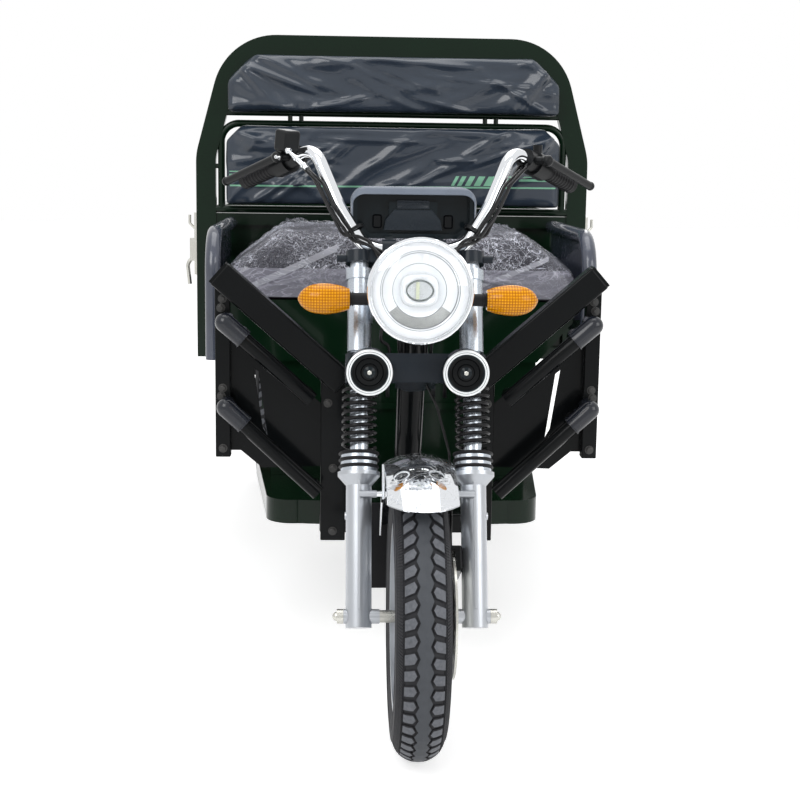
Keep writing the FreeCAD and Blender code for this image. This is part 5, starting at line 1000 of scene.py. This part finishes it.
def makeCushion():
    soft = {"shrink": 0.002, "voxel": 0.006, "pressure": 3.0, "stiff": 15, "frames": 18, "cap": 0.0040}
    cover = {"hem": 0.802, "side": 0.006, "end": 0.010, "foot": 0.006, "top": 0.004, "lap": 0.004, "seed": 5,
             # folds as (count, lean, length, width, height)
             "topFolds": (60, (-2, 2), (0.05, 0.28), (0.003, 0.008), 0.006),
             "frontFolds": (34, (-1.5, 1.5), (0.03, 0.16), (0.003, 0.007), 0.005),
             "hemFolds": (22, (-0.3, 0.3), (0.08, 0.30), (0.003, 0.006), 0.004),
             "before": 0.04, "above": 0.05, "bandCuts": (60, 5), "bandLift": 0.0075,
             # bands as (place across, height, half width, slant, half height)
             "bands": {"Left": (-0.237, 0.808, 0.095, 0.46, 0.0085),
                       "Right": (0.250, 0.800, 0.080, 0.40, 0.006)}}
    cushion = paddedFrom("seat_cushion", "seatCushion", soft)
    dress(cushion, "chassis", "seat_fabric", "plushFabric")
    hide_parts("seat_cushion")
    low, high = boxOf("seat_cushion")
    middle, rng = (low + high) / 2, random.Random(cover["seed"])
    half, deep = (high.x - low.x) / 2 - cover["side"], (high.y - low.y) / 2 - cover["end"]
    before, above = low.y - cover["before"], high.z + cover["above"]
    hem, foot = cover["hem"], low.z + cover["foot"]
    tall, hemTall = (high.z - cover["top"] - hem) / 2, (hem + cover["lap"] - foot) / 2
    # films as (centre, half depth or height, cuts, lift, way, folds, finish)
    films = {"seatFilm": ((middle.x, middle.y, above), deep, (150, 90), 0.002, (0, 0, -1),
                          "topFolds", "seatFilm"),
             "seatFilmFront": ((middle.x, before, hem + tall), tall, (170, 26), 0.002, yWay,
                               "frontFolds", "seatFilm"),
             "seatFilmHem": ((middle.x, before, foot + hemTall), hemTall, (170, 20), 0.0035, yWay,
                             "hemFolds", "hemFilm")}
    for name, (centre, reach, cuts, lift, way, folds, look) in films.items():
        sheet = projectedSheet(name, cushion, centre, (half, reach), cuts, lift, way,
                               folds=foldsOver(rng, (half, reach), *cover[folds]))
        dress(sheet, "chassis", "clear_lens", look)
    for name, (x, z, wide, slant, thin) in cover["bands"].items():
        strip = projectedSheet("seatBand" + name, cushion, (x, before, z), (wide, thin), cover["bandCuts"],
                               cover["bandLift"], slant=slant)
        dress(strip, "chassis", "clear_lens", "bandFilm")
    print("seat cushion")


# fork: its rake and axle, which the fender, the cap rings and the springs follow
fork = {"rake": math.radians(21), "across": 0.103, "axle": Vector((0, -1.306, 0.250))}


def upFork(side, along):
    # the place of a piece drawn up +Z, at a distance up one fork tube from the axle's line
    rake = fork["rake"]
    spot = fork["axle"] + Vector((side * fork["across"], along * math.sin(rake), along * math.cos(rake)))
    return Matrix.Translation(spot) @ Matrix.Rotation(-rake, 4, "X")


# front fender: a smooth plated skin over the built shell, with its film
def makeFenderSkin():
    skin = {"radius": 0.284, "crown": 0.016, "half": 0.057, "sheet": 0.0025, "skirt": 0.030, "front": 54,
            "rear": 158, "sag": 0.009, "fall": 0.14, "search": (-0.4, 0.6), "lap": 0.002, "proud": 0.0008,
            "wall": 0.0005, "film": 0.0016, "filmEnd": 96, "filmWidth": 0.20, "filmHalf": (0.07, 0.10),
            "filmMiddle": -0.12, "seed": 9, "folds": (26, (-2, 2), (0.03, 0.12), (0.003, 0.006), 0.0035)}
    centre = fork["axle"]

    def lineAt(share, grow):
        # across the fender, from one skirt's foot over the crown to the other's, as (x, radius)
        inner, half, skirt = skin["radius"] - skin["crown"], skin["half"] + grow, skin["skirt"] + grow
        crown = arcPoints((-half, inner + grow), (0, skin["radius"] + grow), (half, inner + grow), 40)
        arcLength = sum(math.dist(a, b) for a, b in zip(crown, crown[1:]))
        run = share * (2 * skirt + arcLength)
        if run <= skirt:
            return -half, inner - skin["skirt"] + run
        if run >= skirt + arcLength:
            return half, inner + grow - (run - skirt - arcLength)
        place = (run - skirt) / arcLength * (len(crown) - 1)
        i = min(int(place), len(crown) - 2)
        return [a + (b - a) * (place - i) for a, b in zip(crown[i], crown[i + 1])]

    def frontAngle(x, radius):
        # where the trimmed front edge crosses this line round the wheel, closed in on by halves
        start = math.radians(skin["front"])
        tipY, tipZ = -skin["radius"] * math.cos(start), skin["radius"] * math.sin(start)
        bend = ((skin["half"] + skin["sheet"]) ** 2 + skin["sag"] ** 2) / (2 * skin["sag"])
        rise = bend - math.sqrt(max(0, bend ** 2 - x ** 2))
        low, high = (start + step for step in skin["search"])
        for step in range(30):
            mid = (low + high) / 2
            if radius * math.sin(mid) < tipZ + rise + skin["fall"] * (radius * math.cos(mid) + tipY):
                low = mid
            else:
                high = mid
        return max(low, start - 0.02)

    def shellOver(lift, rear):
        def spot(u, v):
            x, radius = lineAt(u, skin["sheet"] + skin["proud"] + lift)
            front = frontAngle(x, radius) - skin["lap"]
            a = front + (math.radians(rear) - front) * v
            return centre + Vector((x, -radius * math.cos(a), radius * math.sin(a)))
        return spot

    shell = tidyMesh(placedGrid("fenderSkin", (56, 70), shellOver(0, skin["rear"])))
    smooth(modify(shell, "SOLIDIFY", thickness=skin["wall"], offset=-1), 30)
    dress(shell, "steering", "chrome", "brightChrome")
    # the film's pale creases are painted glints on the plating
    film = placedGrid("fenderFilm", (70, 50), shellOver(skin["film"], skin["filmEnd"]))
    folds = foldsOver(random.Random(skin["seed"]), skin["filmHalf"], *skin["folds"])
    for vertex in film.data.vertices:
        out = (vertex.co - centre).normalized()
        vertex.co += out * ridgeLift(folds, vertex.co.x, vertex.co.y - centre.y - skin["filmMiddle"])
    dress(smooth(film, 180), "steering", "clear_lens", "fenderFilm")
    print("fender")


# black rings laid in the dust caps' grooves as their painted shade
def makeCapRings():
    ring = {"start": 0.2563, "pitch": 0.012, "solid": 0.62, "radius": 0.0335, "cord": 0.0032, "count": 3}
    turns = [fullTurn * i / 10 for i in range(10)]
    section = [(ring["radius"] + ring["cord"] * math.cos(a), ring["cord"] * math.sin(a)) for a in turns]
    one = spun("capRing", section, "Z", 48)
    heights = [ring["start"] + ring["pitch"] * (i + (1 + ring["solid"]) / 2) for i in range(ring["count"])]
    copies = [copyOf(one, "capRing", upFork(side, along)) for side in (1, -1) for along in heights]
    dress(smooth(join(copies, "capRings"), 60), "steering", "black_rubber", "blackRubberAndGrooveShade")
    dropPiece(one)
    print("cap rings")


# fork springs: one wire ring carried up a helix on each tube, over the built coil
def makeSprings():
    spring = {"radius": 0.0290, "wire": 0.0036, "pitch": 0.0138, "sides": 12, "steps": 28}
    low, high = boxOf("fork_springs")
    rake, axle, wire, built = fork["rake"], fork["axle"], spring["wire"], high.x - fork["across"]
    start = (low.z - axle.z + built * math.sin(rake)) / math.cos(rake) + wire
    end = (high.z - axle.z - built * math.sin(rake)) / math.cos(rake) - wire
    turns = round((end - start) / spring["pitch"])
    coil = newPiece("springCoil", bpy.ops.mesh.primitive_circle_add, vertices=spring["sides"], radius=wire,
                    fill_type="NOTHING")
    moveTo(coil, Matrix.Translation((spring["radius"], 0, 0)) @ Matrix.Rotation(math.pi / 2, 4, "X"))
    modify(coil, "SCREW", axis="Z", angle=fullTurn, screw_offset=(end - start) / turns, iterations=turns,
           steps=spring["steps"], render_steps=spring["steps"])
    with editing(coil):
        bpy.ops.mesh.fill_holes(sides=0)
    tidyMesh(coil)
    coils = join([copyOf(coil, "springCoil", upFork(side, start)) for side in (1, -1)], "forkCoils")
    dress(smooth(coils, 50), "steering", "spring_steel", "springSteel")
    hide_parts("fork_springs")
    dropPiece(coil)
    print("springs")


# ties that hold the cables to the bars
def makeTies():
    tie = {"radius": 0.0158, "width": 0.006, "thick": 0.0016, "steps": 28, "head": (0.006, 0.005, 0.0075),
           "headEdge": 0.0008, "spot": (0.110, -1.0280, 0.915), "way": (0.044, 0.020, 0.070)}
    r, w, t = tie["radius"], tie["width"] / 2, tie["thick"]
    for side, name in ((1, "cableTie1"), (-1, "cableTie2")):
        ring = spun(name, [(r, -w), (r + t, -w), (r + t, w), (r, w)], "Z", tie["steps"])
        head = newPiece("tieHead", bpy.ops.mesh.primitive_cube_add, size=1, location=(0, -r - t * 1.5, 0))
        head.scale = tie["head"]
        bakePlace(head)
        spot, way = ((side * x, y, z) for x, y, z in (tie["spot"], tie["way"]))
        joined = moveTo(join([ring, bevel(head, tie["headEdge"])], name), aimed(spot, way))
        dress(smooth(joined, 40), "steering", "black_plastic", "blackPlastic")
    print("ties")


# by the hand lever: a knurled cable adjuster, its nuts, and small screws
def makeLeverBits():
    bits = {"from": (-0.2270, -1.004, 1.0560), "to": (-0.2020, -1.004, 1.0260), "radius": 0.0042,
            # nuts as (share of the way along the rod, sides)
            "nut": 0.0066, "nuts": ((0.05, 18), (0.45, 6), (0.80, 6)), "screw": (0.0026, 0.0024, 0.00338),
            "screws": [(-0.268, -1.000, 1.046), (-0.246, -1.004, 1.044), (-0.232, -1.010, 1.030)]}
    controls = frame["nodes"]["hand_controls"]

    def onto(place):
        # the nearest point of the built hand controls, and the way out of it
        local = controls.matrix_world.inverted() @ Vector(place)
        found, spot, way, index = controls.closest_point_on_mesh(local)
        return controls.matrix_world @ spot, controls.matrix_world.to_3x3() @ way

    start, end = onto(bits["from"])[0], Vector(bits["to"])
    way = (end - start).normalized()
    parts = [straightBar("adjusterRod", start, end, bits["radius"], 20)]
    for share, sides in bits["nuts"]:
        place = start + (end - start) * share
        parts.append(straightBar("adjusterNut", place, place + way * bits["nut"] * 0.8, bits["nut"], sides))
    dress(smooth(join(parts, "leverAdjuster"), 30), "steering", "zinc_steel", "brightChrome")
    head = boltHead("leverScrew", *bits["screw"])
    screws = [copyOf(head, "leverScrew", aimed(*onto(place))) for place in bits["screws"]]
    dress(join(screws, "leverScrews"), "steering", "zinc_steel", "brightChrome")
    dropPiece(head)
    print("lever bits")


# grips: ribs round the rubber
def makeGrips():
    grip = {"ribs": 9, "radius": 0.0176, "step": 0.0095, "start": 0.010, "steps": 28,
            "inner": Vector((0.188, -0.972, 1.064)), "end": Vector((0.326, -0.812, 1.000))}
    way, r = (grip["inner"] - grip["end"]).normalized(), grip["radius"]
    line = [(r - 0.0012, -0.0030), (r, -0.0018), (r + 0.0004, 0), (r, 0.0018), (r - 0.0012, 0.0030)]
    one = spun("gripRib", line, "Z", grip["steps"])
    spots = [grip["end"] + way * (grip["start"] + i * grip["step"]) for i in range(grip["ribs"])]
    for side, name in ((1, "gripRibsRight"), (-1, "gripRibsLeft")):
        mirror = Vector((side, 1, 1))
        ribs = join([copyOf(one, "rib", aimed(spot * mirror, way * mirror)) for spot in spots], name)
        dress(smooth(ribs, 40), "steering", "black_rubber", "blackRubberAndGrooveShade")
    dropPiece(one)
    print("grips")


placeTyres()
makeHeadlamp()
makeHorns()
makeBolts()
makeGuardBars()
makeHood()
makeTies()
makeGrips()
makePads()
makeCushion()
makeFenderSkin()
makeCapRings()
makeSprings()
makeLeverBits()


def studio():
    view = {"floor": 40.0, "lens": 65.34, "eye": (-0.153, -3.7675, 1.043), "yaw": -2.74, "pitch": 9.36,
            "roll": 0.81, "floorColour": (0.82, 0.82, 0.82, 1), "floorLift": 0.62, "worldLevel": 0.45,
            "aim": Vector((0, 0, 0.6)),
            # lamps as (place, size, watts)
            "lamps": {"key": ((-2.2, -4.2, 3.6), 2.6, 95), "fill": ((2.8, -3.4, 2.2), 2.2, 45),
                      "rear": ((0.5, 4.2, 3.4), 2.6, 60), "top": ((0, -0.2, 4.2), 3.0, 60)}}
    floor = newPiece("floor", bpy.ops.mesh.primitive_plane_add, size=view["floor"])
    tree, body, place = newLook("paleFloor")
    rays = addNode(tree, "LightPath", {}).outputs
    shown = calc(tree, "MAXIMUM", rays["Is Camera Ray"], rays["Is Glossy Ray"])
    feed(tree, body, {"Base Color": view["floorColour"], "Roughness": 0.9, "Emission Color": (1, 1, 1, 1),
                      "Emission Strength": calc(tree, "MULTIPLY", shown, view["floorLift"])})
    floor.data.materials.append(looks["paleFloor"])

    world = bpy.context.scene.world = bpy.data.worlds.new("studioWorld")
    world.use_nodes = True
    tree = world.node_tree
    rays = addNode(tree, "LightPath", {}).outputs
    seen = calc(tree, "MAXIMUM", rays["Is Camera Ray"], rays["Is Glossy Ray"])
    seen = calc(tree, "MAXIMUM", seen, rays["Is Transmission Ray"])
    level = addNode(tree, "MapRange", {"Value": seen, "To Min": view["worldLevel"], "To Max": 1.0})
    feed(tree, tree.nodes["Background"], {"Color": (1, 1, 1, 1), "Strength": level})

    for name, (place, size, watts) in view["lamps"].items():
        lamp = newPiece(name + "Light", bpy.ops.object.light_add, type="AREA", location=place)
        lamp.data.size = size
        lamp.data.energy = watts
        lamp.rotation_euler = (view["aim"] - Vector(place)).to_track_quat("-Z", "Y").to_euler()

    yaw, pitch, roll = (math.radians(view[key]) for key in ("yaw", "pitch", "roll"))
    forward = Vector((-math.sin(yaw) * math.cos(pitch), math.cos(yaw) * math.cos(pitch), -math.sin(pitch)))
    right = Vector((math.cos(yaw), math.sin(yaw), 0))
    rise = right.cross(forward)
    turnedRight = right * math.cos(roll) + rise * math.sin(roll)
    turnedRise = rise * math.cos(roll) - right * math.sin(roll)
    camera = newPiece("photoCamera", bpy.ops.object.camera_add, location=view["eye"])
    camera.rotation_euler = Matrix((turnedRight, turnedRise, -forward)).transposed().to_euler()
    camera.data.lens = view["lens"]
    camera.data.sensor_width = 36.0
    bpy.context.scene.camera = camera
    bpy.context.scene.view_settings.view_transform = "Standard"
    print("studio")


studio()
